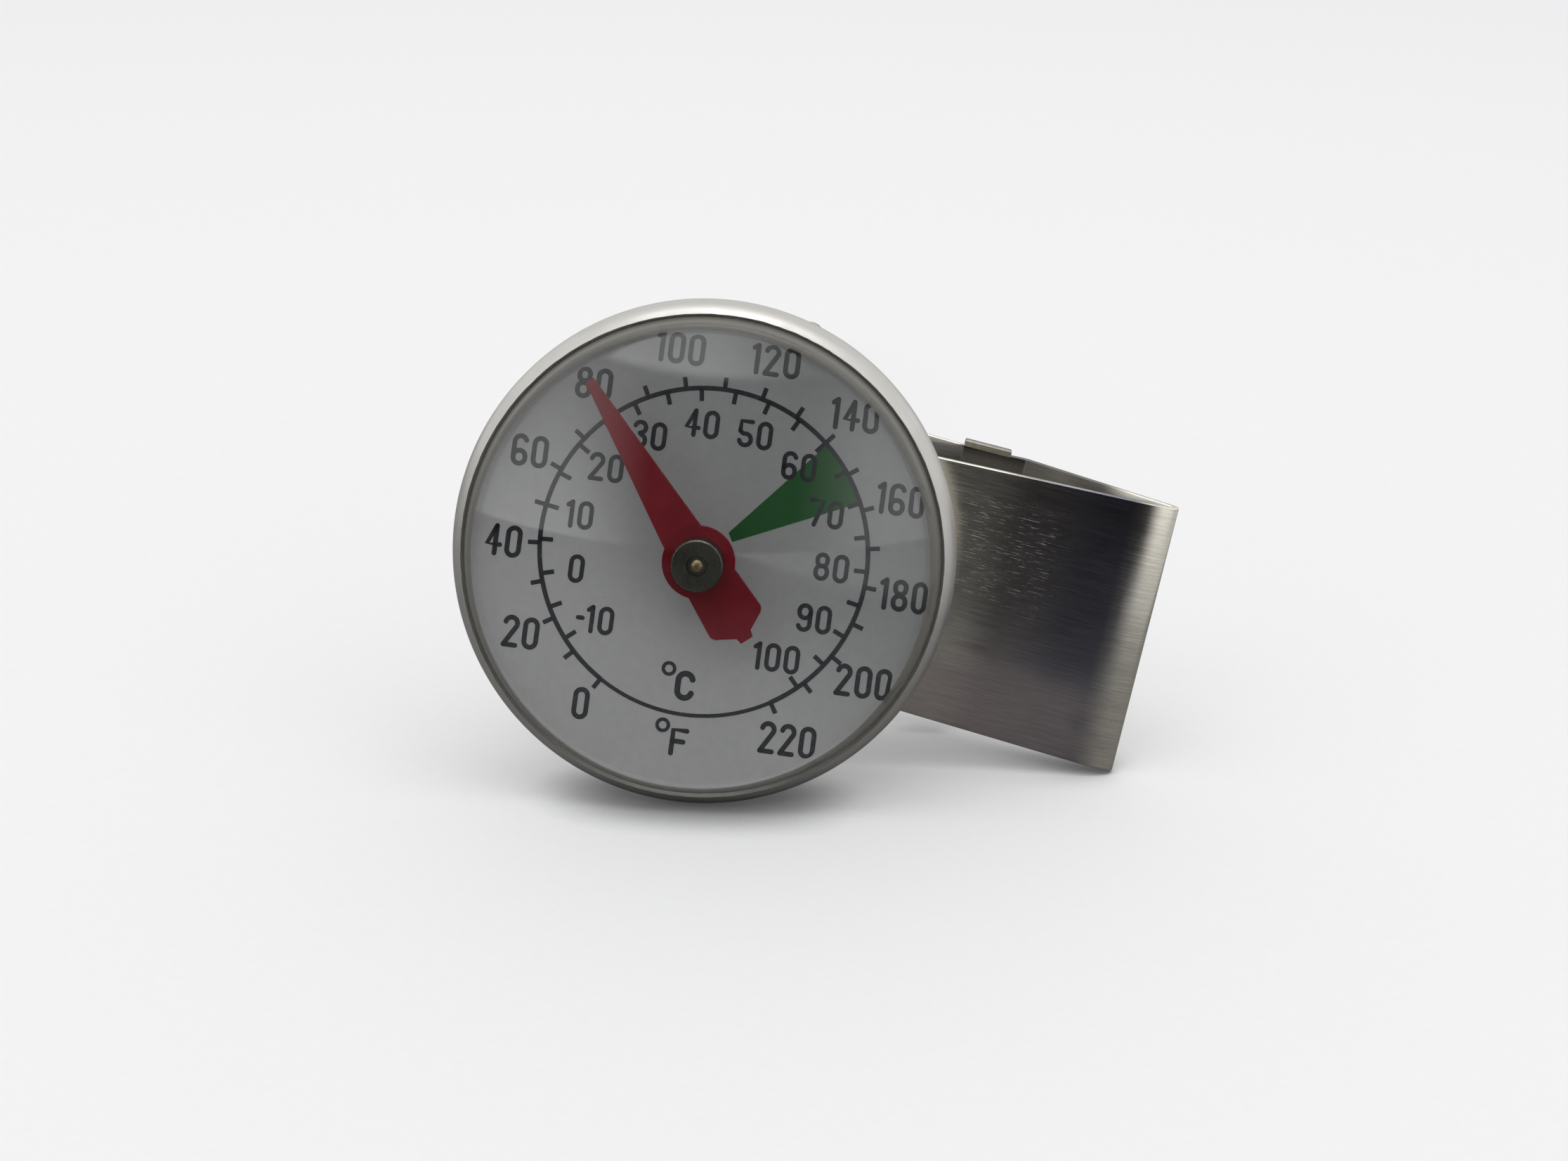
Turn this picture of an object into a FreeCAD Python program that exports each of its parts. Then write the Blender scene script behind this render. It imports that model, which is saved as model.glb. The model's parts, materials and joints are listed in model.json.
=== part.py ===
import FreeCAD, Part
import os
from math import atan2, cos, degrees, radians, sin, sqrt, tan

from FreeCAD import Placement, Rotation, Vector

# Dial thermometer with a straight back stem and a sliding strip clip, in millimetres.
#
# Each piece is drawn in the stem's own frame: the stem axis is Y, the dial faces -Y, +X is to the
# right of someone who reads the dial, and Y = 0 is the front of the bezel lip. The last step lays
# the thermometer down as it rests on a table, with the bezel, the tip of the stem and the lower
# corner of the clip on the floor. The finished part has its origin on the stem axis, half way
# along the bezel's outer wall.

# --- driving dimensions ---------------------------------------------------------------------------

SHEET = 0.4  # thickness of the bezel and case sheet
RUNNING = 0.05  # radial clearance of a running fit

# head
CASE_R = 22.5  # outside of the bezel ring
LIP_R = 21.5  # raw edge of the lip folded over the window
BEZEL_FRONT_BEND = 0.9  # outer radius of the fold at the front
BEZEL_BACK_BEND = 0.8  # outer radius of the fold at the back
BEZEL_WALL_END = 2.6  # where the straight wall ends
BEZEL_ROLL_R = 21.3  # inner edge of the rolled back

CRYSTAL_FLANGE_R = 22.05
CRYSTAL_FLANGE_FRONT = 0.45
CRYSTAL_FLANGE_BACK = 1.45
CRYSTAL_NECK_R = 21.3  # outside of the window where it leaves the lip
CRYSTAL_SHOULDER_R = 20.15
CRYSTAL_SHOULDER_RISE = 1.5  # shoulder's height above the lip
CRYSTAL_APEX_RISE = 5.5  # top of the dome above the lip
CRYSTAL_WALL = 1.0
SHOULDER_WIDTH = 0.7  # rounding between the dome and the sloping skirt: how far out it runs
SHOULDER_DROP = 0.5  # and how far back
SHOULDER_BULGE = (0.42, 0.14)  # its middle point, out and back from the dome's rim
INNER_RIM_IN = 0.75  # inside of the dome's rim, in from the shoulder
INNER_RIM_BACK = 0.7
FLANGE_LAND = 0.1  # flat of the flange's front beyond the lip's edge
FLANGE_CHAMFER = 0.45

GASKET_THICKNESS = 0.3
GASKET_INNER_R = 20.9

DIAL_R = 22.0
DIAL_FRONT = 1.78
DIAL_THICKNESS = 0.4
DIAL_HOLE_R = 2.0
KEY_WIDTH = 1.6  # notch in the dial's rim, and the lug on the case that fills it
KEY_DEPTH = 0.7
LUG_GAP = 0.05  # lug's front behind the dial's face

CASE_FLANGE_BACK = 2.98
CASE_FLANGE_ROUND = 0.38  # back corner of the flange, inside the bezel's rolled back
CASE_WALL_FRONT_R = 21.2
CASE_WALL_BACK_R = 20.6
CASE_BACK = 7.0
CASE_CORNER = 1.8  # outer radius between the wall and the back

# stem
STEM_R = 2.0
STEM_WALL = 0.25
STEM_LENGTH = 127.0  # from the back of the case to the tip
TUBE_TOP = 5.2
PLUG_DEPTH = 2.0
IMMERSION_MARK = 50.0  # rolled groove, measured from the tip
GROOVE_DEPTH = 0.15
GROOVE_WIDTH = 1.2

# neck
FERRULE_FLANGE_R = 5.0
FERRULE_FLANGE_THICKNESS = 0.7
FERRULE_R = 3.0
SEAT_GAP = 0.02  # faces that are pressed together
NUT_LIP = 0.3  # thickness of the nut's closed end
WASHER_R = 5.6
WASHER_THICKNESS = 0.3
NUT_ACROSS_FLATS = 10.0
NUT_THICKNESS = 2.6
NUT_CHAMFER_ANGLE = 30.0

# movement
SPINDLE_R = 0.6
SPINDLE_TOP = -3.93
STAKE_HEIGHT = 0.3  # low dome on the spindle's end
STAKE_BULGE = (0.7, 0.09)  # its middle point: share of the radius, and height below the top
POINTER_FACE = -2.42  # front of the pad
POINTER_THICKNESS = 0.4
POINTER_TIP_FACE = -0.78  # the arm is bent down towards the dial
POINTER_LENGTH = 18.4
POINTER_TIP_HALF = 0.38
POINTER_ROOT_HALF = 1.86
POINTER_ROOT_AT = 2.7
PAD_R = 3.2
TAIL_ROOT_HALF = 2.35
TAIL_END_HALF = 2.6
TAIL_ROOT_AT = 2.0
TAIL_CORNER_AT = 6.5
TAIL_END_AT = 7.4
TAIL_CORNER_R = 0.5
TAIL_CORNER_DROP = 0.12  # the tail's end slopes this much between its corner and the nub
NUB_HALF = 0.58
NUB_LENGTH = 0.55
NUB_FLARE = 0.12
HUB_R = 2.27
HUB_THICKNESS = 1.36
HUB_BARREL_R = 1.15
HUB_BARREL_END = -1.3
HUB_RECESS_R = 0.9
HUB_RECESS_DEPTH = 0.2
HUB_RECESS_TAPER = 0.1
HUB_EDGE = 0.12
BUSH_LENGTH = 3.0
GUIDE_BUSH_AT = 60.0
COLLAR_R = 1.3
COLLAR_LENGTH = 3.0
HELIX_LENGTH = 40.0
HELIX_TURNS = 16
HELIX_R = 1.2
HELIX_STRIP_WIDTH = 1.5
HELIX_STRIP_THICKNESS = 0.2
ANCHOR_LENGTH = 2.4

# clip
CLIP_SHEET = 0.6
CLIP_FRONT = 10.35  # front of the strip
CLIP_REACH = 41.0  # from the stem axis to the outside of the fold
CLIP_FOLD_R = 0.85  # outer radius of the fold
CLIP_BEND_R = 8.0  # outer radius of the front leg's slow bend just before the fold
CLIP_BEND = 20.0  # how far that bend turns the strip
CLIP_END = 9.0  # how far the strip runs on past the stem
CLIP_WIDTH_AT_FOLD = 25.1
CLIP_WIDTH_AT_STEM = 22.3
CLIP_END_CORNER = 4.0
REAR_ANGLE = 27.0  # rear leg to front leg, next to the fold
CREST_NEAR = 20.5  # stem side of the rear leg's flat crest, measured from the stem axis
CREST_BACK = 19.4  # back of the crest
REAR_FLAT_BACK = 13.2  # back of the rear leg where it meets the stem
REAR_FLAT_FROM = 4.0
REAR_HOLE_R = 2.35
EYELET_R = 2.9
EYELET_FLANGE_R = 3.9
EYELET_FLANGE_THICKNESS = 0.35
TONGUE_SHEET = 0.5
TONGUE_ANGLE = 18.0  # tongue to front leg
TONGUE_PAD_NEAR = 20.6
TONGUE_PAD_FAR = 25.1
TONGUE_END = 9.0
TONGUE_HOLE_R = 2.35
EAR_REACH = 1.8  # how far an ear comes forward round the strip

# rest pose
HEAD_ROLL = 5.6  # the dial's 12 o'clock, clockwise from the top
POINTER_FROM_TWELVE = -39.5  # the pointer, clockwise from the dial's 12 o'clock
CLIP_SWING = 12.25  # how far the clip hangs below the horizontal

CUT = 1.0  # how far cutting shapes run past what they cut

# --- values that follow ---------------------------------------------------------------------------

CASE_HOLE_R = FERRULE_R + RUNNING
TIP_Y = CASE_BACK + STEM_LENGTH
TUBE_END = TIP_Y - STEM_R
BORE_R = STEM_R - STEM_WALL
NUT_FRONT = CASE_BACK + WASHER_THICKNESS
NUT_BACK = NUT_FRONT + NUT_THICKNESS
ANCHOR_END = TUBE_END - PLUG_DEPTH
HELIX_END = ANCHOR_END - ANCHOR_LENGTH
HELIX_START = HELIX_END - HELIX_LENGTH
STEM_DIP = degrees(atan2(CASE_R - STEM_R, TUBE_END - BEZEL_WALL_END))
HEAD_DATUM = (BEZEL_FRONT_BEND + BEZEL_WALL_END) / 2

ALONG = Vector(0, 1, 0)
FULL = 360.0


# --- helpers --------------------------------------------------------------------------------------


def outline(start, *steps):
    """Closed wire through (a, b) points; a step of two points is an arc through the first to the second."""
    edges = []
    here = Vector(*start, 0)
    for step in steps + (start,):
        if isinstance(step[0], tuple):
            middle = Vector(*step[0], 0)
            end = Vector(*step[1], 0)
            edges.append(Part.Arc(here, middle, end).toShape())
        else:
            end = Vector(*step, 0)
            if end.distanceToPoint(here) > 1e-7:
                edges.append(Part.LineSegment(here, end).toShape())
        here = end
    return Part.Wire(edges)


def turned(start, *steps):
    """Solid of revolution about the stem axis from an outline of (radius, y) points."""
    face = Part.Face(outline(start, *steps))
    return face.revolve(Vector(0, 0, 0), ALONG, FULL)


def on_circle(centre, radius, angle):
    """Point of a circle in an outline's plane, at an angle from its first axis."""
    return (centre[0] + radius * cos(radians(angle)), centre[1] + radius * sin(radians(angle)))


def arc_to(centre, radius, start_angle, end_angle):
    """Arc step for outline(), from one angle of a circle to another."""
    middle = on_circle(centre, radius, (start_angle + end_angle) / 2)
    return (middle, on_circle(centre, radius, end_angle))


def dome_step(rim_r, rim_y, apex_y, to_apex):
    """Arc step of a shallow dome between its rim and its apex on the axis."""
    sag = rim_y - apex_y
    radius = (rim_r**2 + sag**2) / (2 * sag)
    half_r = rim_r / 2
    middle = (half_r, apex_y + radius - sqrt(radius**2 - half_r**2))
    return (middle, (0, apex_y)) if to_apex else (middle, (rim_r, rim_y))


def ring(inner_r, outer_r, front, back):
    return turned((inner_r, front), (outer_r, front), (outer_r, back), (inner_r, back))


def rod(radius, front, back):
    return Part.makeCylinder(radius, back - front, Vector(0, front, 0), ALONG)


def plan_prism(wire, front, back):
    """Prism of an outline given as (x, z), running from one y to another."""
    face = Part.Face(wire)
    face.rotate(Vector(0, 0, 0), Vector(1, 0, 0), 90)
    face.translate(Vector(0, front, 0))
    return face.extrude(Vector(0, back - front, 0))


def side_prism(wire, half_width):
    """Prism of an outline given as (x, y), running across z."""
    face = Part.Face(wire)
    face.translate(Vector(0, 0, -half_width))
    return face.extrude(Vector(0, 0, 2 * half_width))


def rolled(shape, clockwise):
    """Turn a shape about the stem axis, clockwise as the dial's reader sees it."""
    shape.rotate(Vector(0, 0, 0), ALONG, clockwise)
    return shape


def rested(shape):
    """Lay a shape from the stem frame down into the resting pose."""
    shape.translate(Vector(0, -HEAD_DATUM, 0))
    dip = Placement(Vector(0, 0, 0), Rotation(Vector(1, 0, 0), -STEM_DIP))
    shape.Placement = dip.multiply(shape.Placement)
    return shape


# --- head -----------------------------------------------------------------------------------------


def make_bezel_ring():
    """Sheet ring folded over the window in front and rolled under the case flange behind."""
    front = (CASE_R - BEZEL_FRONT_BEND, BEZEL_FRONT_BEND)
    back = (CASE_R - BEZEL_BACK_BEND, BEZEL_WALL_END)
    roll_back = BEZEL_WALL_END + BEZEL_BACK_BEND
    return turned(
        (LIP_R, 0),
        (front[0], 0),
        arc_to(front, BEZEL_FRONT_BEND, -90, 0),
        (CASE_R, BEZEL_WALL_END),
        arc_to(back, BEZEL_BACK_BEND, 0, 90),
        (BEZEL_ROLL_R, roll_back),
        (BEZEL_ROLL_R, roll_back - SHEET),
        (back[0], roll_back - SHEET),
        arc_to(back, BEZEL_BACK_BEND - SHEET, 90, 0),
        (CASE_R - SHEET, BEZEL_FRONT_BEND),
        arc_to(front, BEZEL_FRONT_BEND - SHEET, 0, -90),
        (LIP_R, SHEET),
    )


def make_crystal():
    """Moulded window: a flange under the lip, a sloping shoulder and a shallow dome."""
    shoulder_y = -CRYSTAL_SHOULDER_RISE
    inner_rim = CRYSTAL_SHOULDER_R - INNER_RIM_IN
    inner_rim_y = shoulder_y + INNER_RIM_BACK
    apex = -CRYSTAL_APEX_RISE
    round_middle = (CRYSTAL_SHOULDER_R + SHOULDER_BULGE[0], shoulder_y + SHOULDER_BULGE[1])
    round_end = (CRYSTAL_SHOULDER_R + SHOULDER_WIDTH, shoulder_y + SHOULDER_DROP)
    return turned(
        (0, apex),
        dome_step(CRYSTAL_SHOULDER_R, shoulder_y, apex, False),
        (round_middle, round_end),
        (CRYSTAL_NECK_R, CRYSTAL_FLANGE_FRONT),
        (LIP_R + FLANGE_LAND, CRYSTAL_FLANGE_FRONT),
        (CRYSTAL_FLANGE_R, CRYSTAL_FLANGE_FRONT + FLANGE_CHAMFER),
        (CRYSTAL_FLANGE_R, CRYSTAL_FLANGE_BACK),
        (CRYSTAL_NECK_R - CRYSTAL_WALL, CRYSTAL_FLANGE_BACK),
        (inner_rim, inner_rim_y),
        dome_step(inner_rim, inner_rim_y, apex + CRYSTAL_WALL, True),
    )


def make_crystal_gasket():
    back = CRYSTAL_FLANGE_BACK + GASKET_THICKNESS
    return ring(GASKET_INNER_R, DIAL_R, CRYSTAL_FLANGE_BACK, back)


def key_block(clearance, front, back):
    """Block at 6 o'clock in the rim: the dial's notch, and the case lug that fits it."""
    width = KEY_WIDTH + 2 * clearance
    depth = KEY_DEPTH + clearance
    corner = Vector(-width / 2, front, -DIAL_R - CUT)
    return Part.makeBox(width, back - front, depth + CUT, corner)


def make_dial_plate():
    plate = ring(DIAL_HOLE_R, DIAL_R, DIAL_FRONT, DIAL_FRONT + DIAL_THICKNESS)
    notch = key_block(RUNNING, DIAL_FRONT - CUT, DIAL_FRONT + CUT)
    return rolled(plate.cut(notch), HEAD_ROLL)


def make_case_back():
    """Drawn pan with a hemmed flange under the dial and a hole for the neck."""
    flange_front = DIAL_FRONT + DIAL_THICKNESS
    corner = (CASE_WALL_BACK_R - CASE_CORNER, CASE_BACK - CASE_CORNER)
    rim = (DIAL_R - CASE_FLANGE_ROUND, CASE_FLANGE_BACK - CASE_FLANGE_ROUND)
    pan = turned(
        (CASE_WALL_FRONT_R - SHEET, flange_front),
        (DIAL_R, flange_front),
        (DIAL_R, rim[1]),
        arc_to(rim, CASE_FLANGE_ROUND, 0, 90),
        (CASE_WALL_FRONT_R, CASE_FLANGE_BACK),
        (CASE_WALL_BACK_R, corner[1]),
        arc_to(corner, CASE_CORNER, 0, 90),
        (CASE_HOLE_R, CASE_BACK),
        (CASE_HOLE_R, CASE_BACK - SHEET),
        (corner[0], CASE_BACK - SHEET),
        arc_to(corner, CASE_CORNER - SHEET, 90, 0),
    )
    lug = key_block(0, DIAL_FRONT + LUG_GAP, flange_front + SHEET)
    lug = lug.common(rod(DIAL_R, DIAL_FRONT, CASE_BACK))
    return rolled(pan.fuse(lug).removeSplitter(), HEAD_ROLL)


# --- stem and neck --------------------------------------------------------------------------------


def make_stem_tube():
    """Thin tube with a shallow rolled groove that marks how deep it is dipped."""
    groove_y = TIP_Y - IMMERSION_MARK
    half = GROOVE_WIDTH / 2
    return turned(
        (BORE_R, TUBE_TOP),
        (STEM_R, TUBE_TOP),
        (STEM_R, groove_y - half),
        ((STEM_R - GROOVE_DEPTH, groove_y), (STEM_R, groove_y + half)),
        (STEM_R, TUBE_END),
        (BORE_R, TUBE_END),
    )


def make_stem_tip_plug():
    return turned(
        (0, ANCHOR_END),
        (BORE_R, ANCHOR_END),
        (BORE_R, TUBE_END),
        (STEM_R, TUBE_END),
        arc_to((0, TUBE_END), STEM_R, 0, 90),
    )


def make_neck_ferrule():
    """Flanged neck: its flange sits inside the case, and the nut is fixed on its barrel."""
    flange_back = CASE_BACK - SHEET
    flange_front = flange_back - FERRULE_FLANGE_THICKNESS
    return turned(
        (STEM_R, flange_front),
        (FERRULE_FLANGE_R, flange_front),
        (FERRULE_FLANGE_R, flange_back - SEAT_GAP),
        (FERRULE_R, flange_back - SEAT_GAP),
        (FERRULE_R, NUT_BACK - NUT_LIP),
        (STEM_R, NUT_BACK - NUT_LIP),
    )


def make_friction_washer():
    return ring(CASE_HOLE_R, WASHER_R, CASE_BACK + SEAT_GAP, NUT_FRONT)


def make_hex_nut():
    """Thin hexagon nut, chamfered on its back face, that closes over the end of the neck."""
    corner_r = NUT_ACROSS_FLATS / 2 / cos(radians(30))
    points = [on_circle((0, 0), corner_r, 60 * k) for k in range(6)]
    hexagon = plan_prism(outline(*points), NUT_FRONT, NUT_BACK)
    chamfer = (corner_r - NUT_ACROSS_FLATS / 2) * tan(radians(NUT_CHAMFER_ANGLE))
    envelope = turned(
        (0, NUT_FRONT),
        (corner_r, NUT_FRONT),
        (corner_r, NUT_BACK - chamfer),
        (NUT_ACROSS_FLATS / 2, NUT_BACK),
        (0, NUT_BACK),
    )
    bore = rod(FERRULE_R, NUT_FRONT - CUT, NUT_BACK - NUT_LIP)
    stem_hole = rod(STEM_R, NUT_FRONT, NUT_BACK + CUT)
    return hexagon.common(envelope).cut(bore).cut(stem_hole)


# --- movement -------------------------------------------------------------------------------------


def make_spindle():
    """Shaft from the helix up to the pointer, its end staked to a low dome."""
    end = HELIX_START - COLLAR_LENGTH / 2
    middle = (STAKE_BULGE[0] * SPINDLE_R, SPINDLE_TOP + STAKE_BULGE[1])
    stake = (middle, (SPINDLE_R, SPINDLE_TOP + STAKE_HEIGHT))
    return turned((0, SPINDLE_TOP), stake, (SPINDLE_R, end), (0, end))


def bush(front):
    return ring(SPINDLE_R + RUNNING, BORE_R, front, front + BUSH_LENGTH)


def make_helix_collar():
    """Collar pressed on the spindle's end; the helix starts from its rim."""
    front = HELIX_START - COLLAR_LENGTH
    split = HELIX_START - COLLAR_LENGTH / 2
    return turned(
        (SPINDLE_R, front),
        (COLLAR_R, front),
        (COLLAR_R, HELIX_START),
        (0, HELIX_START),
        (0, split),
        (SPINDLE_R, split),
    )


def make_bimetal_helix():
    """Flat strip coiled about the stem axis between the collar and the anchor."""
    travel = HELIX_LENGTH - HELIX_STRIP_WIDTH
    pitch = travel / HELIX_TURNS
    spine = Part.makeHelix(pitch, travel, HELIX_R)
    half = HELIX_STRIP_THICKNESS / 2
    inner = HELIX_R - half
    outer = HELIX_R + half
    corners = [
        Vector(inner, 0, 0),
        Vector(outer, 0, 0),
        Vector(outer, 0, HELIX_STRIP_WIDTH),
        Vector(inner, 0, HELIX_STRIP_WIDTH),
    ]
    section = Part.makePolygon(corners + corners[:1])
    coil = Part.Wire(spine).makePipeShell([section], True, True)
    coil.rotate(Vector(0, 0, 0), Vector(1, 0, 0), -90)
    coil.translate(Vector(0, HELIX_START, 0))
    return coil


def make_helix_anchor():
    return rod(BORE_R, HELIX_END, ANCHOR_END)


def pointer_plan():
    """Outline of the pointer, tip towards +z: one side from tip to nub, then its mirror image."""
    out = TAIL_END_HALF
    corner = (out - TAIL_CORNER_R, -TAIL_CORNER_AT + TAIL_CORNER_R)
    straight = [
        (POINTER_TIP_HALF, POINTER_LENGTH),
        (POINTER_ROOT_HALF, POINTER_ROOT_AT),
        (TAIL_ROOT_HALF, -TAIL_ROOT_AT),
        (out, corner[1]),
    ]
    middle = on_circle(corner, TAIL_CORNER_R, -45)
    bottom = (corner[0], -TAIL_CORNER_AT - TAIL_CORNER_DROP)
    nub = [(NUB_HALF + NUB_FLARE, -TAIL_END_AT), (NUB_HALF, -TAIL_END_AT - NUB_LENGTH)]
    right = [*straight, (middle, bottom), *nub]
    other_nub = [(-x, z) for x, z in reversed(nub)]
    other_straight = [(-x, z) for x, z in reversed(straight)]
    other_corner = ((-middle[0], middle[1]), other_straight[0])
    left = [*other_nub, (-bottom[0], bottom[1]), other_corner, *other_straight[1:]]
    return outline(*right, *left)


def pointer_side():
    """Side view of the pointer as (z, y): flat over the hub and tail, then bent down to the tip."""
    back = POINTER_FACE + POINTER_THICKNESS
    tip_back = POINTER_TIP_FACE + POINTER_THICKNESS
    tail = -TAIL_END_AT - NUB_LENGTH - CUT
    return outline(
        (tail, POINTER_FACE),
        (PAD_R, POINTER_FACE),
        (POINTER_LENGTH, POINTER_TIP_FACE),
        (POINTER_LENGTH, tip_back),
        (PAD_R, back),
        (tail, back),
    )


def make_pointer():
    """Flat tapered arm, round pad and broad tail, with the hub's hole."""
    front = POINTER_FACE - CUT
    back = POINTER_TIP_FACE + CUT
    plan = plan_prism(pointer_plan(), front, back)
    pad = rod(PAD_R, front, back)
    bend = side_prism(pointer_side(), 2 * PAD_R)
    bend.rotate(Vector(0, 0, 0), ALONG, -90)
    body = plan.fuse(pad).common(bend).removeSplitter()
    hole = rod(HUB_BARREL_R, front, back)
    return rolled(body.cut(hole), HEAD_ROLL + POINTER_FROM_TWELVE)


def make_pointer_hub():
    """Turned hub: a disc in front of the pointer and a barrel through it, pressed on the spindle."""
    top = POINTER_FACE - HUB_THICKNESS
    return turned(
        (SPINDLE_R, top + HUB_RECESS_DEPTH),
        (HUB_RECESS_R - HUB_RECESS_TAPER, top + HUB_RECESS_DEPTH),
        (HUB_RECESS_R, top),
        (HUB_R - HUB_EDGE, top),
        (HUB_R, top + HUB_EDGE),
        (HUB_R, POINTER_FACE),
        (HUB_BARREL_R, POINTER_FACE),
        (HUB_BARREL_R, HUB_BARREL_END),
        (SPINDLE_R, HUB_BARREL_END),
    )


# --- clip -----------------------------------------------------------------------------------------


def offset_point(before, here, after, distance):
    """Corner of a polyline moved to its left side by a distance, mitred."""
    a = Vector(here[0] - before[0], here[1] - before[1], 0).normalize()
    b = Vector(after[0] - here[0], after[1] - here[1], 0).normalize()
    normal = Vector(-a.y - b.y, a.x + b.x, 0).normalize()
    reach = distance / (normal.x * -a.y + normal.y * a.x)
    return (here[0] + normal.x * reach, here[1] + normal.y * reach)


def strip_side():
    """Side view of the folded strip: front leg, slow bend, fold, rising rear leg, crest, and flat end."""
    bend_end = CLIP_BEND - 90
    turn_end = 90 - REAR_ANGLE
    between = CLIP_BEND_R - CLIP_FOLD_R
    bend_from = CLIP_REACH - CLIP_FOLD_R - between * cos(radians(bend_end))
    bend_centre = (bend_from, CLIP_FRONT + CLIP_BEND_R)
    centre = on_circle(bend_centre, between, bend_end)
    outer_end = on_circle(centre, CLIP_FOLD_R, turn_end)
    inner_r = CLIP_FOLD_R - CLIP_SHEET
    inner_end = on_circle(centre, inner_r, turn_end)
    crest_far = outer_end[0] - (CREST_BACK - outer_end[1]) / tan(radians(REAR_ANGLE))
    backs = [
        (crest_far, CREST_BACK),
        (CREST_NEAR, CREST_BACK),
        (REAR_FLAT_FROM, REAR_FLAT_BACK),
        (-CLIP_END, REAR_FLAT_BACK),
    ]
    chain = [outer_end, *backs]
    inners = [offset_point(chain[k - 1], chain[k], chain[k + 1], CLIP_SHEET) for k in (1, 2, 3)]
    end_inner = (-CLIP_END, REAR_FLAT_BACK - CLIP_SHEET)
    return outline(
        (-CLIP_END, CLIP_FRONT),
        (bend_from, CLIP_FRONT),
        arc_to(bend_centre, CLIP_BEND_R, -90, bend_end),
        arc_to(centre, CLIP_FOLD_R, bend_end, turn_end),
        *backs,
        end_inner,
        *reversed(inners),
        inner_end,
        arc_to(centre, inner_r, turn_end, bend_end),
        arc_to(bend_centre, CLIP_BEND_R - CLIP_SHEET, bend_end, -90),
        (-CLIP_END, CLIP_FRONT + CLIP_SHEET),
    )


def strip_half_width(x):
    """Half of the strip's width at a distance from the stem axis."""
    slope = (CLIP_WIDTH_AT_FOLD - CLIP_WIDTH_AT_STEM) / CLIP_REACH
    return (CLIP_WIDTH_AT_STEM + slope * x) / 2


def strip_plan(end_x, far_x):
    """Outline of the strip as (x, z): wider towards the fold, round corners at its near end."""
    far = strip_half_width(far_x)
    near = strip_half_width(end_x)
    corner = CLIP_END_CORNER
    low = (end_x + corner, -near + corner)
    high = (end_x + corner, near - corner)
    return outline(
        (far_x, far),
        (high[0], near),
        arc_to(high, corner, 90, 180),
        (end_x, low[1]),
        arc_to(low, corner, 180, 270),
        (far_x, -far),
    )


def make_clip_band():
    """Tapered strip folded into a hairpin, with a stem hole in each leg."""
    strip = side_prism(strip_side(), CLIP_WIDTH_AT_FOLD)
    plan = plan_prism(strip_plan(-CLIP_END, CLIP_REACH + CUT), CLIP_FRONT - CUT, CREST_BACK + CUT)
    between = (CLIP_FRONT + REAR_FLAT_BACK) / 2
    front_hole = rod(EYELET_R + RUNNING, CLIP_FRONT - CUT, between)
    rear_hole = rod(REAR_HOLE_R, between, CREST_BACK)
    return rolled(strip.common(plan).cut(front_hole).cut(rear_hole), CLIP_SWING)


def tongue_side():
    """Side view of the tongue: a pad on the strip's crest, then a blade that leans back past the stem."""
    front = CREST_BACK
    back = front + TONGUE_SHEET
    lean = tan(radians(TONGUE_ANGLE))
    end_front = front + (TONGUE_PAD_NEAR + TONGUE_END) * lean
    across = TONGUE_SHEET / cos(radians(TONGUE_ANGLE))
    knee = TONGUE_PAD_NEAR + TONGUE_SHEET * tan(radians(TONGUE_ANGLE / 2))
    return outline(
        (TONGUE_PAD_FAR, front),
        (TONGUE_PAD_NEAR, front),
        (-TONGUE_END, end_front),
        (-TONGUE_END, end_front + across),
        (knee, back),
        (TONGUE_PAD_FAR, back),
    )


def tongue_clasp():
    """Channel across the strip's crest: a pad with an ear folded forward round each edge."""
    half = strip_half_width(TONGUE_PAD_FAR) + RUNNING
    length = TONGUE_PAD_FAR - TONGUE_PAD_NEAR
    front = CREST_BACK - EAR_REACH
    outer = half + TONGUE_SHEET
    depth = EAR_REACH + TONGUE_SHEET
    block = Part.makeBox(length, depth, 2 * outer, Vector(TONGUE_PAD_NEAR, front, -outer))
    channel = Part.makeBox(length, EAR_REACH, 2 * half, Vector(TONGUE_PAD_NEAR, front, -half))
    return block.cut(channel)


def make_clip_tongue():
    """Second sheet, held by two ears on the strip's crest; its blade bears on the stem."""
    blade = side_prism(tongue_side(), CLIP_WIDTH_AT_FOLD)
    plan = plan_prism(strip_plan(-TONGUE_END, TONGUE_PAD_FAR), CREST_BACK - CUT, TIP_Y)
    hole = rod(TONGUE_HOLE_R, CREST_BACK, TIP_Y)
    tongue = blade.common(plan).cut(hole).fuse(tongue_clasp())
    return rolled(tongue.removeSplitter(), CLIP_SWING)


def make_clip_eyelet():
    """Flanged eyelet that grips the stem; the strip's front leg turns on its barrel."""
    inner = STEM_R + RUNNING
    front = CLIP_FRONT - RUNNING
    back = CLIP_FRONT + CLIP_SHEET + RUNNING
    return turned(
        (inner, front - EYELET_FLANGE_THICKNESS),
        (EYELET_FLANGE_R, front - EYELET_FLANGE_THICKNESS),
        (EYELET_FLANGE_R, front),
        (EYELET_R, front),
        (EYELET_R, back),
        (EYELET_FLANGE_R, back),
        (EYELET_FLANGE_R, back + EYELET_FLANGE_THICKNESS),
        (inner, back + EYELET_FLANGE_THICKNESS),
    )


# --- write one file per piece ---------------------------------------------------------------------

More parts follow.
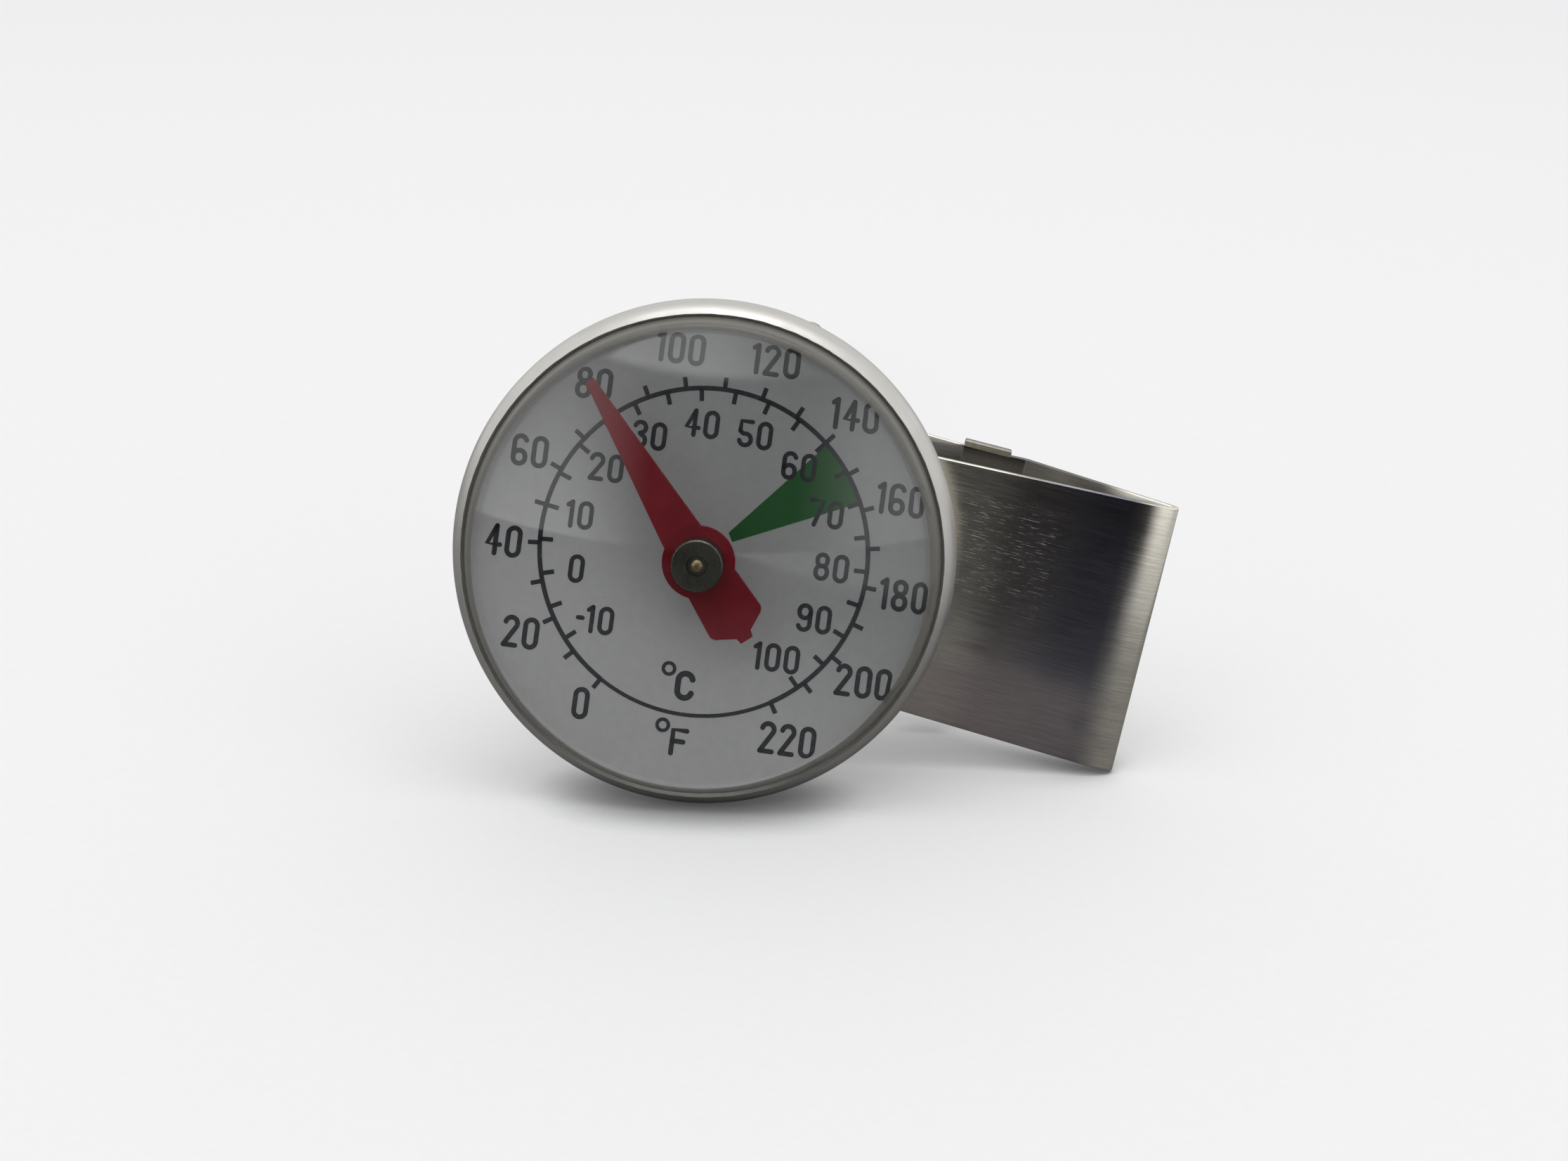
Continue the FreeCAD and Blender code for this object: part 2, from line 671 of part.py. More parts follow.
pieces = {
    "bezel_ring": make_bezel_ring(),
    "crystal": make_crystal(),
    "crystal_gasket": make_crystal_gasket(),
    "dial_plate": make_dial_plate(),
    "case_back": make_case_back(),
    "friction_washer": make_friction_washer(),
    "hex_nut": make_hex_nut(),
    "neck_ferrule": make_neck_ferrule(),
    "stem_tube": make_stem_tube(),
    "stem_tip_plug": make_stem_tip_plug(),
    "upper_bush": bush(TUBE_TOP),
    "guide_bush": bush(GUIDE_BUSH_AT),
    "spindle": make_spindle(),
    "pointer": make_pointer(),
    "pointer_hub": make_pointer_hub(),
    "helix_collar": make_helix_collar(),
    "bimetal_helix": make_bimetal_helix(),
    "helix_anchor": make_helix_anchor(),
    "clip_eyelet": make_clip_eyelet(),
    "clip_band": make_clip_band(),
    "clip_tongue": make_clip_tongue(),
}

os.makedirs("parts", exist_ok=True)
for name, shape in pieces.items():
    shape = rested(shape)
    if not shape.isValid() or len(shape.Solids) != 1:
        raise ValueError(f"{name} is not one valid solid")
    shape.exportStep(f"parts/{name}.step")
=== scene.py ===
import json
from math import atan2, cos, degrees, hypot, pi, radians, sin, tan

import bpy
from mathutils import Matrix, Vector, noise


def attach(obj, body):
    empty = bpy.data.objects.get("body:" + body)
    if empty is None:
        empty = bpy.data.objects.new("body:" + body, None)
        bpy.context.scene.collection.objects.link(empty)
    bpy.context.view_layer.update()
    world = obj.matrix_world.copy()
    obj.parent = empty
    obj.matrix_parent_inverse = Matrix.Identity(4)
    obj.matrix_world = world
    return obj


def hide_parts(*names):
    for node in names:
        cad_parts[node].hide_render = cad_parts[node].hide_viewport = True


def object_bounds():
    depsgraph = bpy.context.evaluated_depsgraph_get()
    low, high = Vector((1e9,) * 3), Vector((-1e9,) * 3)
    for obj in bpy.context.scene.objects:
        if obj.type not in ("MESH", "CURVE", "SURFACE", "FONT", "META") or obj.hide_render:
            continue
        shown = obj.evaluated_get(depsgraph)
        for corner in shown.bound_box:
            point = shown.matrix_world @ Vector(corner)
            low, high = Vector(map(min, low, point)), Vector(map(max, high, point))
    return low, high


# A dial thermometer lying on a pale sweep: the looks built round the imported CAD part.
#
# Pieces made here are drawn in millimetres in the stem's own frame: x to the right of someone who
# reads the dial, y along the stem from the front of the bezel lip, z up across the dial.

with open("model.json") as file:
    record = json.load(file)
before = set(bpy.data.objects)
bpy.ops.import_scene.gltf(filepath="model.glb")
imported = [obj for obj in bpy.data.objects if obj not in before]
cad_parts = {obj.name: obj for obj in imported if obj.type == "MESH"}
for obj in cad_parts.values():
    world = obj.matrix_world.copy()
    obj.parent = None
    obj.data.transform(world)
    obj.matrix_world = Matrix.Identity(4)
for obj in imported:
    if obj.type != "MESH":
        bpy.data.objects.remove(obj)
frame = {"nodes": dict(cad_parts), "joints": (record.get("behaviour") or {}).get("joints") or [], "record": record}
bpy.context.view_layer.update()

# --- the stem's frame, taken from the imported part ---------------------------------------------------

MM = 0.001
NODES = frame["nodes"]
AXIS = Vector(next(j["axis"] for j in frame["joints"] if j["name"] == "head_trim"))
RIGHT = Vector((1, 0, 0))
UP = RIGHT.cross(AXIS)
LIP_PLANE = min(v.co.dot(AXIS) for v in NODES["bezel_ring"].data.vertices)
TURN = Matrix((RIGHT, AXIS, UP)).transposed()
STEM = Matrix.Translation(AXIS * LIP_PLANE) @ TURN.to_4x4() @ Matrix.Scale(MM, 4)
TO_STEM = STEM.inverted()


def along_stem(node):
    """First and last place of a node along the stem, in millimetres behind the lip."""
    places = [(TO_STEM @ v.co).y for v in NODES[node].data.vertices]
    return min(places), max(places)


def reach_of(node):
    """Largest distance of a node from the stem's axis, in millimetres."""
    return max(hypot(p.x, p.z) for p in (TO_STEM @ v.co for v in NODES[node].data.vertices))


# --- sizes, in millimetres ----------------------------------------------------------------------------

FLOOR_GAP = 0.02
FLOOR_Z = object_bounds()[0].z - FLOOR_GAP * MM

CASE_R = reach_of("bezel_ring")
LIP_R = CASE_R - 1.0
SHEET = 0.4
LIP_TURN = 56.0  # how far the bezel's front has turned inwards where it is cut off
BEZEL_BACK_BEND = 0.8
BEZEL_WALL_END = along_stem("bezel_ring")[1] - BEZEL_BACK_BEND
BEZEL_ROLL_R = 21.3
BURR = 0.035  # how ragged the lip's cut edge is

CRYSTAL_BACK = along_stem("crystal")[1]
CRYSTAL_APEX = along_stem("crystal")[0]
CRYSTAL_FLANGE_R = reach_of("crystal")
CRYSTAL_FLANGE_FRONT = 0.45
CRYSTAL_NECK_R = 21.3
CRYSTAL_SHOULDER_R = 20.15
CRYSTAL_SHOULDER_Y = -1.5
CRYSTAL_WALL = 1.0
CRYSTAL_SKIRT_WALL = 0.6

DIAL_FRONT = along_stem("dial_plate")[0]
DIAL_ROLL = 5.6  # the dial's 12 o'clock, clockwise from the top
INK_LIFT = 0.012
WEDGE_LIFT = 0.006

CLIP_SWING = 12.25  # how far the clip is turned about the stem at rest, clockwise from the front
CLIP_SHEET = 0.6
CLIP_FRONT = along_stem("clip_band")[0]
CLIP_REACH = 41.0  # from the stem to the outside of the fold
CLIP_FOLD_R = 0.85  # outer radius
CLIP_BEND_R = 8.0  # outer radius of the slow bend before the fold
CLIP_BEND = 20.0
CLIP_END = 9.0
CLIP_WIDTH_AT_FOLD = 25.1
CLIP_WIDTH_AT_STEM = 22.3
CLIP_END_CORNER = 4.0
REAR_ANGLE = 27.0  # how the rear leg leans from the fold to its crest
CREST_NEAR = 20.5
CREST_BACK = along_stem("clip_band")[1]
REAR_FLAT_BACK = 13.2
REAR_FLAT_FROM = 4.0
REAR_HOLE_R = 2.35
EYELET_HOLE_R = 2.95
TONGUE_SHEET = 0.5
TONGUE_ANGLE = 18.0
TONGUE_PAD_NEAR = 20.6
TONGUE_PAD_FAR = 25.1
TONGUE_END = 9.0
EAR_REACH = 1.8
STRIP_EDGE = 0.14  # rounding of the strip's edges
TONGUE_EDGE = 0.12
BLADE_INSET = 0.03
EAR_GAP = 0.05
EAR_BEND_R = 0.6
TONGUE_PLAY = 0.04  # the blade is this much thinner than the clasp, so that their faces stay apart

# --- shader helpers -----------------------------------------------------------------------------------


def is_socket(value):
    """Whether an input is fed by another node."""
    return isinstance(value, bpy.types.NodeSocket)


class Shader:
    """Small builder round the nodes of one material or world."""

    def __init__(self, owner):
        owner.use_nodes = True
        owner.node_tree.nodes.clear()
        self.owner = owner
        self.tree = owner.node_tree

    def node(self, kind, inputs=None, **settings):
        """Adds a node. Inputs are by name or number, and each is a value or another node's socket."""
        made = self.tree.nodes.new(kind)
        for key, value in settings.items():
            setattr(made, key, value)
        for key, value in (inputs or {}).items():
            socket = made.inputs[key]
            if is_socket(value):
                self.tree.links.new(value, socket)
            else:
                socket.default_value = value
        return made

    def math(self, operation, a, b=0.0, clamp=False):
        made = self.node("ShaderNodeMath", {0: a, 1: b}, operation=operation, use_clamp=clamp)
        return made.outputs[0]

    def ramp(self, value, low, high, out_low=0.0, out_high=1.0):
        """Smooth step of value from low to high."""
        inputs = {"Value": value, 1: low, 2: high, 3: out_low, 4: out_high}
        made = self.node("ShaderNodeMapRange", inputs, interpolation_type="SMOOTHSTEP")
        return made.outputs[0]

    def mix(self, share, a, b):
        """Colour a, with a share of colour b."""
        made = self.node("ShaderNodeMix", data_type="RGBA")
        for socket, value in ((0, share), (6, a), (7, b)):
            if is_socket(value):
                self.tree.links.new(value, made.inputs[socket])
            elif socket == 0:
                made.inputs[0].default_value = value
            else:
                made.inputs[socket].default_value = (*value, 1.0)
        return made.outputs[2]

    def scaled(self, colour, share):
        """Colour times a number."""
        inputs = {0: colour, 3: share}
        return self.node("ShaderNodeVectorMath", inputs, operation="SCALE").outputs[0]

    def stem_space(self):
        """The shaded point in the stem's frame, in millimetres; it stays with the piece when it moves."""
        place = self.node("ShaderNodeTexCoord").outputs["Object"]
        origin = AXIS * LIP_PLANE
        inputs = {0: place, 1: origin, 2: TURN.to_euler(), 3: (MM, MM, MM)}
        return self.node("ShaderNodeMapping", inputs, vector_type="TEXTURE").outputs[0]

    def round_space(self, lengthwise):
        """Radius, y and angle round the stem, with the angle drawn out so that noise runs in rings."""
        place = self.node("ShaderNodeSeparateXYZ", {0: self.stem_space()})
        x, y, z = place.outputs
        square = self.math("ADD", self.math("MULTIPLY", x, x), self.math("MULTIPLY", z, z))
        radius = self.math("SQRT", square)
        angle = self.math("MULTIPLY", self.math("ARCTAN2", z, x), lengthwise)
        return self.node("ShaderNodeCombineXYZ", {0: radius, 1: y, 2: angle}).outputs[0]

    def stretched(self, vector, scale):
        return self.node("ShaderNodeMapping", {0: vector, 3: scale}).outputs[0]

    def noise(self, vector, scale, detail=3.0, roughness=0.55):
        inputs = {"Vector": vector, "Scale": scale, "Detail": detail, "Roughness": roughness}
        return self.node("ShaderNodeTexNoise", inputs).outputs[0]

    def bump(self, height, distance, strength=1.0):
        inputs = {"Height": height, "Distance": distance * MM, "Strength": strength}
        return self.node("ShaderNodeBump", inputs).outputs[0]

    def surface(self, inputs):
        """Ends the material in one Principled surface."""
        shaded = self.node("ShaderNodeBsdfPrincipled", inputs)
        self.node("ShaderNodeOutputMaterial", {"Surface": shaded.outputs[0]})
        return self.owner


# --- materials ----------------------------------------------------------------------------------------

BACKDROP = (0.83, 0.83, 0.845)
FLOOR_TONE = (0.70, 0.70, 0.705)
FLOOR_LIFT = 0.22  # glow that keeps the shadows on the floor light
SKIRT_PAINTED_SHADE = (0.17, 0.165, 0.145)  # the window's rim seen from in front, darkened as painted shade, and seen through its dome
SKIRT_WITHIN = (0.46, 0.45, 0.46)


def turned_steel(name, colour, roughness):
    """Satin steel finished on a lathe: fine rings, with a little uneven polish."""
    s = Shader(bpy.data.materials.new(name))
    rings = s.noise(s.stretched(s.round_space(1.5), (9.0, 9.0, 1.0)), 1.6, 5.0, 0.7)
    cloud = s.noise(s.stem_space(), 0.35, 2.0)
    shade = s.ramp(rings, 0.2, 0.8, 0.88, 1.06)
    tint = s.mix(s.ramp(cloud, 0.3, 0.7, 0.0, 0.25), colour, (0.58, 0.56, 0.50))
    toned = s.scaled(tint, shade)
    uneven = s.ramp(cloud, 0.3, 0.7, -0.03, 0.05)
    rough = s.math("ADD", uneven, s.ramp(rings, 0.2, 0.8, roughness - 0.05, roughness + 0.07))
    return s.surface({
        "Base Color": toned,
        "Metallic": 1.0,
        "Roughness": rough,
        "Normal": s.bump(rings, 0.012, 0.6),
    })


# Places on the clip's strip, in millimetres along it from the end of its front leg, and the tones painted there:
# painted dark reflections across the front leg, painted shade on the rear leg's inside, and a rosy tone low down.
RUBBED_LENGTH = 35.5
RUBBED_HEIGHT = 4.5
WARM_FROM_TO = (32.0, 37.0)
WARM_PAINTED_REFLECTION = (0.40, 0.365, 0.36)
BLUISH_FROM_TO = (37.0, 44.0)
BLUISH_PAINTED_REFLECTION = (0.22, 0.225, 0.27)
FOLD_FROM_TO = (45.5, 48.5)
REAR_FROM_TO = (54.0, 58.0)
REAR = (0.17, 0.165, 0.155)
ROSY = (0.60, 0.52, 0.51)


def strip_steel(name, colour):
    """Strip brushed along its length, with soft bands of painted dark reflection and painted shade, a rosy tone
    low on its front leg, and scratches where it has been rubbed.
    """
    s = Shader(bpy.data.materials.new(name))
    place = s.node("ShaderNodeUVMap", uv_map="strip").outputs[0]
    grain = s.noise(s.stretched(place, (0.22, 7.0, 1.0)), 1.0, 6.0, 0.8)
    broad = s.noise(s.stretched(place, (0.03, 0.6, 1.0)), 1.0, 2.0)
    marks = s.noise(s.stretched(place, (0.5, 13.0, 1.0)), 1.0, 3.0, 0.6)
    length, height, _ = s.node("ShaderNodeSeparateXYZ", {0: place}).outputs
    beside = s.math("ABSOLUTE", s.math("SUBTRACT", length, RUBBED_LENGTH))
    above = s.math("ABSOLUTE", s.math("SUBTRACT", height, RUBBED_HEIGHT))
    patch = s.math("MULTIPLY", s.ramp(beside, 3.0, 6.5, 1.0, 0.0), s.ramp(above, 3.0, 6.5, 1.0, 0.0))
    scratches = s.math("MULTIPLY", s.ramp(marks, 0.6, 0.7), patch)
    shade = s.ramp(grain, 0.25, 0.75, 0.72, 1.15)
    along = s.math("ADD", length, s.math("MULTIPLY", s.math("SUBTRACT", broad, 0.5), 5.0))
    # painted dark reflections in soft bands across the front leg, ending where the fold takes the plain colour
    # again
    with_warm_reflection = s.mix(s.ramp(along, *WARM_FROM_TO), colour, WARM_PAINTED_REFLECTION)
    with_bluish_reflection = s.mix(s.ramp(along, *BLUISH_FROM_TO), with_warm_reflection, BLUISH_PAINTED_REFLECTION)
    folded = s.mix(s.ramp(length, *FOLD_FROM_TO), with_bluish_reflection, colour)
    # painted shade on the inside of the rear leg
    rear = s.mix(s.ramp(length, *REAR_FROM_TO), folded, REAR)
    low = s.math("MULTIPLY", s.ramp(height, -8.0, -3.0, 1.0, 0.0), s.ramp(along, 44.0, 50.0, 1.0, 0.0))
    rosy = s.mix(s.math("MULTIPLY", low, 0.7), rear, ROSY)
    toned = s.scaled(rosy, shade)
    scratched = s.mix(s.math("MULTIPLY", scratches, 0.5), toned, (0.95, 0.95, 0.98))
    rough = s.math("ADD", s.ramp(grain, 0.2, 0.8, 0.15, 0.22), s.ramp(broad, 0.3, 0.7, -0.02, 0.03))
    rough = s.math("ADD", rough, s.math("MULTIPLY", scratches, 0.3))
    tangent = s.node("ShaderNodeTangent", direction_type="UV_MAP", uv_map="strip").outputs[0]
    return s.surface({
        "Base Color": scratched,
        "Metallic": 1.0,
        "Roughness": rough,
        "Anisotropic": 0.6,
        "Anisotropic Rotation": 0.25,
        "Tangent": tangent,
        "Normal": s.bump(s.math("ADD", grain, scratches), 0.006, 0.5),
    })


def plain_metal(name, colour, roughness, streaks=(1.0, 1.0, 1.0)):
    """Metal with faint streaks and uneven polish."""
    s = Shader(bpy.data.materials.new(name))
    place = s.stem_space()
    grain = s.noise(s.stretched(place, streaks), 4.0, 4.0, 0.6)
    cloud = s.noise(place, 0.5, 2.0)
    darker = tuple(0.72 * c for c in colour)
    uneven = s.ramp(cloud, 0.3, 0.7, -0.05, 0.06)
    return s.surface({
        "Base Color": s.mix(s.ramp(grain, 0.3, 0.75), colour, darker),
        "Metallic": 1.0,
        "Roughness": s.math("ADD", uneven, s.ramp(grain, 0.3, 0.7, roughness, roughness + 0.08)),
        "Normal": s.bump(grain, 0.008, 0.4),
    })


def clear_plastic(name):
    """Clear moulded window that lets lamps through to the dial; its thick rim is cloudy, with painted shade on it
    from in front.
    """
    s = Shader(bpy.data.materials.new(name))
    place = s.stem_space()
    haze = s.noise(place, 0.25, 2.0)
    fine = s.noise(s.stretched(place, (1.0, 1.0, 0.15)), 6.0, 3.0)
    smear = s.ramp(s.math("MULTIPLY", haze, fine), 0.25, 0.45, 0.0, 0.02)
    clear = s.node("ShaderNodeBsdfPrincipled", {
        "Base Color": (0.97, 0.985, 0.975, 1.0),
        "Transmission Weight": 1.0,
        "IOR": 1.49,
        "Roughness": s.math("ADD", smear, 0.005),
        "Normal": s.bump(haze, 0.02, 0.15),
    })
    rays = s.node("ShaderNodeLightPath")
    inside = rays.outputs["Is Transmission Ray"]
    radius, y, _ = s.node("ShaderNodeSeparateXYZ", {0: s.round_space(1.0)}).outputs
    on_shoulder = s.ramp(radius, CRYSTAL_SHOULDER_R + 0.05, CRYSTAL_SHOULDER_R + 0.25)
    before_dome = s.ramp(y, CRYSTAL_SHOULDER_Y + 0.7, CRYSTAL_SHOULDER_Y + 0.85, 1.0, 0.0)
    shoulder = s.math("MULTIPLY", on_shoulder, before_dome)
    rim = s.math("MAXIMUM", shoulder, s.ramp(radius, CRYSTAL_NECK_R - 0.56, CRYSTAL_NECK_R - 0.48))
    from_front = s.math("MULTIPLY", rim, s.math("SUBTRACT", 1.0, inside))
    from_within = s.math("MULTIPLY", s.ramp(radius, CRYSTAL_NECK_R - 0.85, CRYSTAL_NECK_R - 0.7), inside)
    cloud = s.math("MULTIPLY", s.math("MAXIMUM", from_front, from_within), 0.8)
    # the rim's cloudy surface; its dark tone from in front is painted shade
    skirt = s.node("ShaderNodeBsdfPrincipled", {
        "Base Color": s.mix(inside, SKIRT_PAINTED_SHADE, SKIRT_WITHIN),
        "Roughness": s.ramp(fine, 0.3, 0.7, 0.3, 0.4),
        "Specular IOR Level": 0.3,
    })
    cloudy = s.node("ShaderNodeMixShader", {0: cloud, 1: clear.outputs[0], 2: skirt.outputs[0]})
    passing = s.node("ShaderNodeBsdfTransparent", {0: (0.94, 0.95, 0.94, 1.0)})
    past = s.math("MAXIMUM", rays.outputs["Is Shadow Ray"], rays.outputs["Is Diffuse Ray"])
    joined = s.node("ShaderNodeMixShader", {0: past, 1: cloudy.outputs[0], 2: passing.outputs[0]})
    s.node("ShaderNodeOutputMaterial", {"Surface": joined.outputs[0]})
    return s.owner


def dial_paint(name):
    """Matt off-white print ground with faint mottling, a few dust specks, and painted shade that darkens it
    towards the upper right.
    """
    s = Shader(bpy.data.materials.new(name))
    place = s.stem_space()
    mottle = s.noise(place, 1.3, 4.0, 0.7)
    fine = s.noise(place, 9.0, 3.0, 0.7)
    x, _, z = s.node("ShaderNodeSeparateXYZ", {0: place}).outputs
    # painted shade: the ground is darker towards the upper right and lighter towards the lower left, where more
    # light falls on it
    painted_shade = s.ramp(s.math("ADD", z, s.math("MULTIPLY", x, 0.7)), -14.0, 10.0)
    plain = s.mix(painted_shade, (0.50, 0.485, 0.505), (0.33, 0.325, 0.335))
    mottled = s.ramp(mottle, 0.3, 0.7, 0.97, 1.04)
    ground = s.scaled(plain, mottled)
    specks = s.node("ShaderNodeTexVoronoi", {"Vector": place, "Scale": 0.55, "Randomness": 1.0})
    near = s.ramp(specks.outputs["Distance"], 0.02, 0.05, 1.0, 0.0)
    dark = s.math("MULTIPLY", near, s.ramp(mottle, 0.5, 0.6))
    return s.surface({
        "Base Color": s.mix(s.math("MULTIPLY", dark, 0.6), ground, (0.12, 0.11, 0.12)),
        "Roughness": s.ramp(fine, 0.3, 0.7, 0.5, 0.62),
        "Specular IOR Level": 0.35,
        "Normal": s.bump(fine, 0.01, 0.3),
    })


def ink(name, colour, worn):
    """Screen-printed ink: dense, slightly uneven, thin in places."""
    s = Shader(bpy.data.materials.new(name))
    place = s.stem_space()
    cover = s.noise(place, 2.2, 5.0, 0.75)
    patch = s.noise(place, 0.3, 2.0)
    thin = s.math("MULTIPLY", s.ramp(cover, 0.5, 0.75), s.ramp(patch, 0.35, 0.7, 0.3, 1.0))
    return s.surface({
        "Base Color": s.mix(s.math("MULTIPLY", thin, 0.7), colour, worn),
        "Roughness": s.ramp(cover, 0.3, 0.7, 0.42, 0.6),
        "Normal": s.bump(cover, 0.006, 0.4),
    })


def paint(name, colour, faded):
    """Satin paint with orange peel and a slight fade in clouds."""
    s = Shader(bpy.data.materials.new(name))
    place = s.stem_space()
    cloud = s.noise(place, 0.25, 3.0)
    peel = s.noise(place, 2.4, 3.0, 0.6)
    return s.surface({
        "Base Color": s.mix(s.ramp(cloud, 0.35, 0.7), colour, faded),
        "Roughness": s.ramp(peel, 0.3, 0.7, 0.38, 0.5),
        "Specular IOR Level": 0.1,
        "Normal": s.bump(peel, 0.012, 0.35),
    })


def rubber(name):
    """Pale silicone, matt and a little grainy."""
    s = Shader(bpy.data.materials.new(name))
    place = s.stem_space()
    grain = s.noise(place, 5.0, 4.0, 0.7)
    return s.surface({
        "Base Color": s.mix(s.ramp(grain, 0.3, 0.7), (0.50, 0.49, 0.46), (0.56, 0.55, 0.52)),
        "Roughness": s.ramp(grain, 0.3, 0.7, 0.55, 0.75),
        "Normal": s.bump(grain, 0.02, 0.5),
    })


def sweep_surface(name):
    """Pale floor with a narrow contact shadow; in reflections it is darker towards the front."""
    s = Shader(bpy.data.materials.new(name))
    spot = s.node("ShaderNodeNewGeometry").outputs["Position"]
    place = s.node("ShaderNodeSeparateXYZ", {0: spot})
    far = s.node("ShaderNodeVectorMath", {0: spot}, operation="LENGTH").outputs["Value"]
    fibres = s.noise(spot, 900.0, 4.0, 0.7)
    tone = s.ramp(fibres, 0.3, 0.7, 0.985, 1.0)
    lit = s.scaled(FLOOR_TONE, tone)
    rays = s.node("ShaderNodeLightPath").outputs["Is Camera Ray"]
    front = s.ramp(place.outputs[1], -0.13, -0.02, 0.04, 0.2)
    right = s.ramp(place.outputs[0], 0.05, 0.1, 0.0, 0.55)
    seen = s.math("MAXIMUM", rays, s.math("MAXIMUM", front, right))
    close = s.node("ShaderNodeAmbientOcclusion", {"Distance": 0.006}, samples=8).outputs["AO"]
    pressed = s.math("MULTIPLY", seen, s.ramp(close, 0.25, 0.9, 0.3, 1.0))
    toned = s.scaled(lit, pressed)
    lifted = s.scaled(BACKDROP, pressed)
    near = s.node("ShaderNodeBsdfPrincipled", {
        "Base Color": toned,
        "Roughness": 0.7,
        "Specular IOR Level": 0.2,
        "Normal": s.bump(fibres, 0.02, 0.2),
        "Emission Color": lifted,
        "Emission Strength": FLOOR_LIFT,
    })
    distant = s.scaled(BACKDROP, seen)
    glow = s.node("ShaderNodeEmission", {0: distant})
    share = s.ramp(far, 0.25, 0.7)
    joined = s.node("ShaderNodeMixShader", {0: share, 1: near.outputs[0], 2: glow.outputs[0]})
    s.node("ShaderNodeOutputMaterial", {"Surface": joined.outputs[0]})
    return s.owner


MATERIALS = {
    "satin_steel": turned_steel("satin_steel", (0.68, 0.665, 0.635), 0.4),
    "clip_steel": strip_steel("clip_steel", (0.90, 0.86, 0.75)),
    "clear_plastic": clear_plastic("clear_plastic"),
    "dial_white": dial_paint("dial_white"),
    "pointer_red": paint("pointer_red", (0.16, 0.004, 0.010), (0.20, 0.008, 0.018)),
    "hub_grey": plain_metal("hub_grey", (0.15, 0.145, 0.125), 0.3),
    "brass": plain_metal("brass", (0.36, 0.27, 0.16), 0.3),
    "gasket_rubber": rubber("gasket_rubber"),
    "stem_steel": plain_metal("stem_steel", (0.68, 0.67, 0.65), 0.2, (6.0, 0.4, 6.0)),
    "spring_steel": plain_metal("spring_steel", (0.50, 0.50, 0.50), 0.3),
    "bimetal": plain_metal("bimetal", (0.55, 0.50, 0.40), 0.35),
}
INK_BLACK = ink("ink_black", (0.016, 0.016, 0.024), (0.10, 0.10, 0.12))
INK_GREEN = ink("ink_green", (0.008, 0.085, 0.016), (0.03, 0.12, 0.03))

# --- mesh helpers -------------------------------------------------------------------------------------


def add_piece(name, points, faces, body, material, slot=None, uvs=None, turn=None, sharp=35.0):
    """Makes a smooth-shaded mesh from points in the stem's frame and sets it on a body."""
    mesh = bpy.data.meshes.new(name)
    mesh.from_pydata([Vector(p) for p in points], [], faces)
    if turn is not None:
        mesh.transform(turn)
    mesh.transform(STEM)
    if uvs is not None:
        layer = mesh.uv_layers.new(name="strip")
        for loop in mesh.loops:
            layer.data[loop.index].uv = uvs[loop.vertex_index]
    mesh.validate()
    mesh.shade_smooth()
    mesh.set_sharp_from_angle(angle=radians(sharp))
    mesh.materials.append(material)
    made = bpy.data.objects.new(name, mesh)
    bpy.context.scene.collection.objects.link(made)
    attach(made, body)
    return made


def clockwise(angle):
    """Turn about the stem, clockwise as the dial's reader sees it."""
    return Matrix.Rotation(radians(angle), 4, "Y")


def arc(centre, radius, start, end, steps):
    """Points of an arc in a plane, angles in degrees, both ends included."""
    turns = [radians(start + (end - start) * k / steps) for k in range(steps + 1)]
    return [(centre[0] + radius * cos(t), centre[1] + radius * sin(t)) for t in turns]


def turned_mesh(profile, segments, shift=None):
    """Points and faces of a closed (radius, y) outline turned about the stem."""
    points, faces, rows = [], [], []
    for row, (r, y) in enumerate(profile):
        if r < 1e-6:
            rows.append([len(points)] * segments)
            points.append((0.0, y, 0.0))
            continue
        rows.append(list(range(len(points), len(points) + segments)))
        for k in range(segments):
            t = 2 * pi * k / segments
            dr, dy = shift(row, t) if shift else (0.0, 0.0)
            points.append(((r + dr) * sin(t), y + dy, (r + dr) * cos(t)))
    for a, b in zip(rows, rows[1:] + rows[:1]):
        for k in range(segments):
            n = (k + 1) % segments
            corners = [a[n], b[n], b[k], a[k]]
            corners = [c for i, c in enumerate(corners) if c != corners[i - 1]]
            if len(corners) > 2:
                faces.append(corners)
    return points, faces


# --- head ---------------------------------------------------------------------------------------------


def make_bezel():
    """Rolled sheet ring whose lip ends in a raw, slightly ragged cut edge over the window."""
    front_r = (CASE_R - LIP_R) / (1 - cos(radians(LIP_TURN)))
    front = (CASE_R - front_r, front_r * sin(radians(LIP_TURN)))
    back = (CASE_R - BEZEL_BACK_BEND, BEZEL_WALL_END)
    roll_back = BEZEL_WALL_END + BEZEL_BACK_BEND
    inside = arc(front, front_r - SHEET, 0, -LIP_TURN, 8)
    outside = arc(front, front_r, -LIP_TURN, 0, 12)
    middle = ((inside[-1][0] + outside[0][0]) / 2, (inside[-1][1] + outside[0][1]) / 2)
    lip = [inside[-1], middle, outside[0]]
    profile = (
        lip
        + outside[1:]
        + arc(back, BEZEL_BACK_BEND, 0, 90, 8)
        + [(BEZEL_ROLL_R, roll_back), (BEZEL_ROLL_R, roll_back - SHEET)]
        + arc(back, BEZEL_BACK_BEND - SHEET, 90, 0, 5)
        + inside[:-1]
    )

    def ragged(row, t):
        if row >= len(lip):
            return 0.0, 0.0
        spot = Vector((LIP_R * cos(t), LIP_R * sin(t), 3.0 * row)) * 1.6
        return BURR * noise.noise(spot), BURR * 0.5 * noise.noise(spot * 1.7)

    points, faces = turned_mesh(profile, 360, ragged)
    made = add_piece("bezel", points, faces, "head", MATERIALS["satin_steel"], "satin_steel", sharp=50)
    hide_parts("bezel_ring")


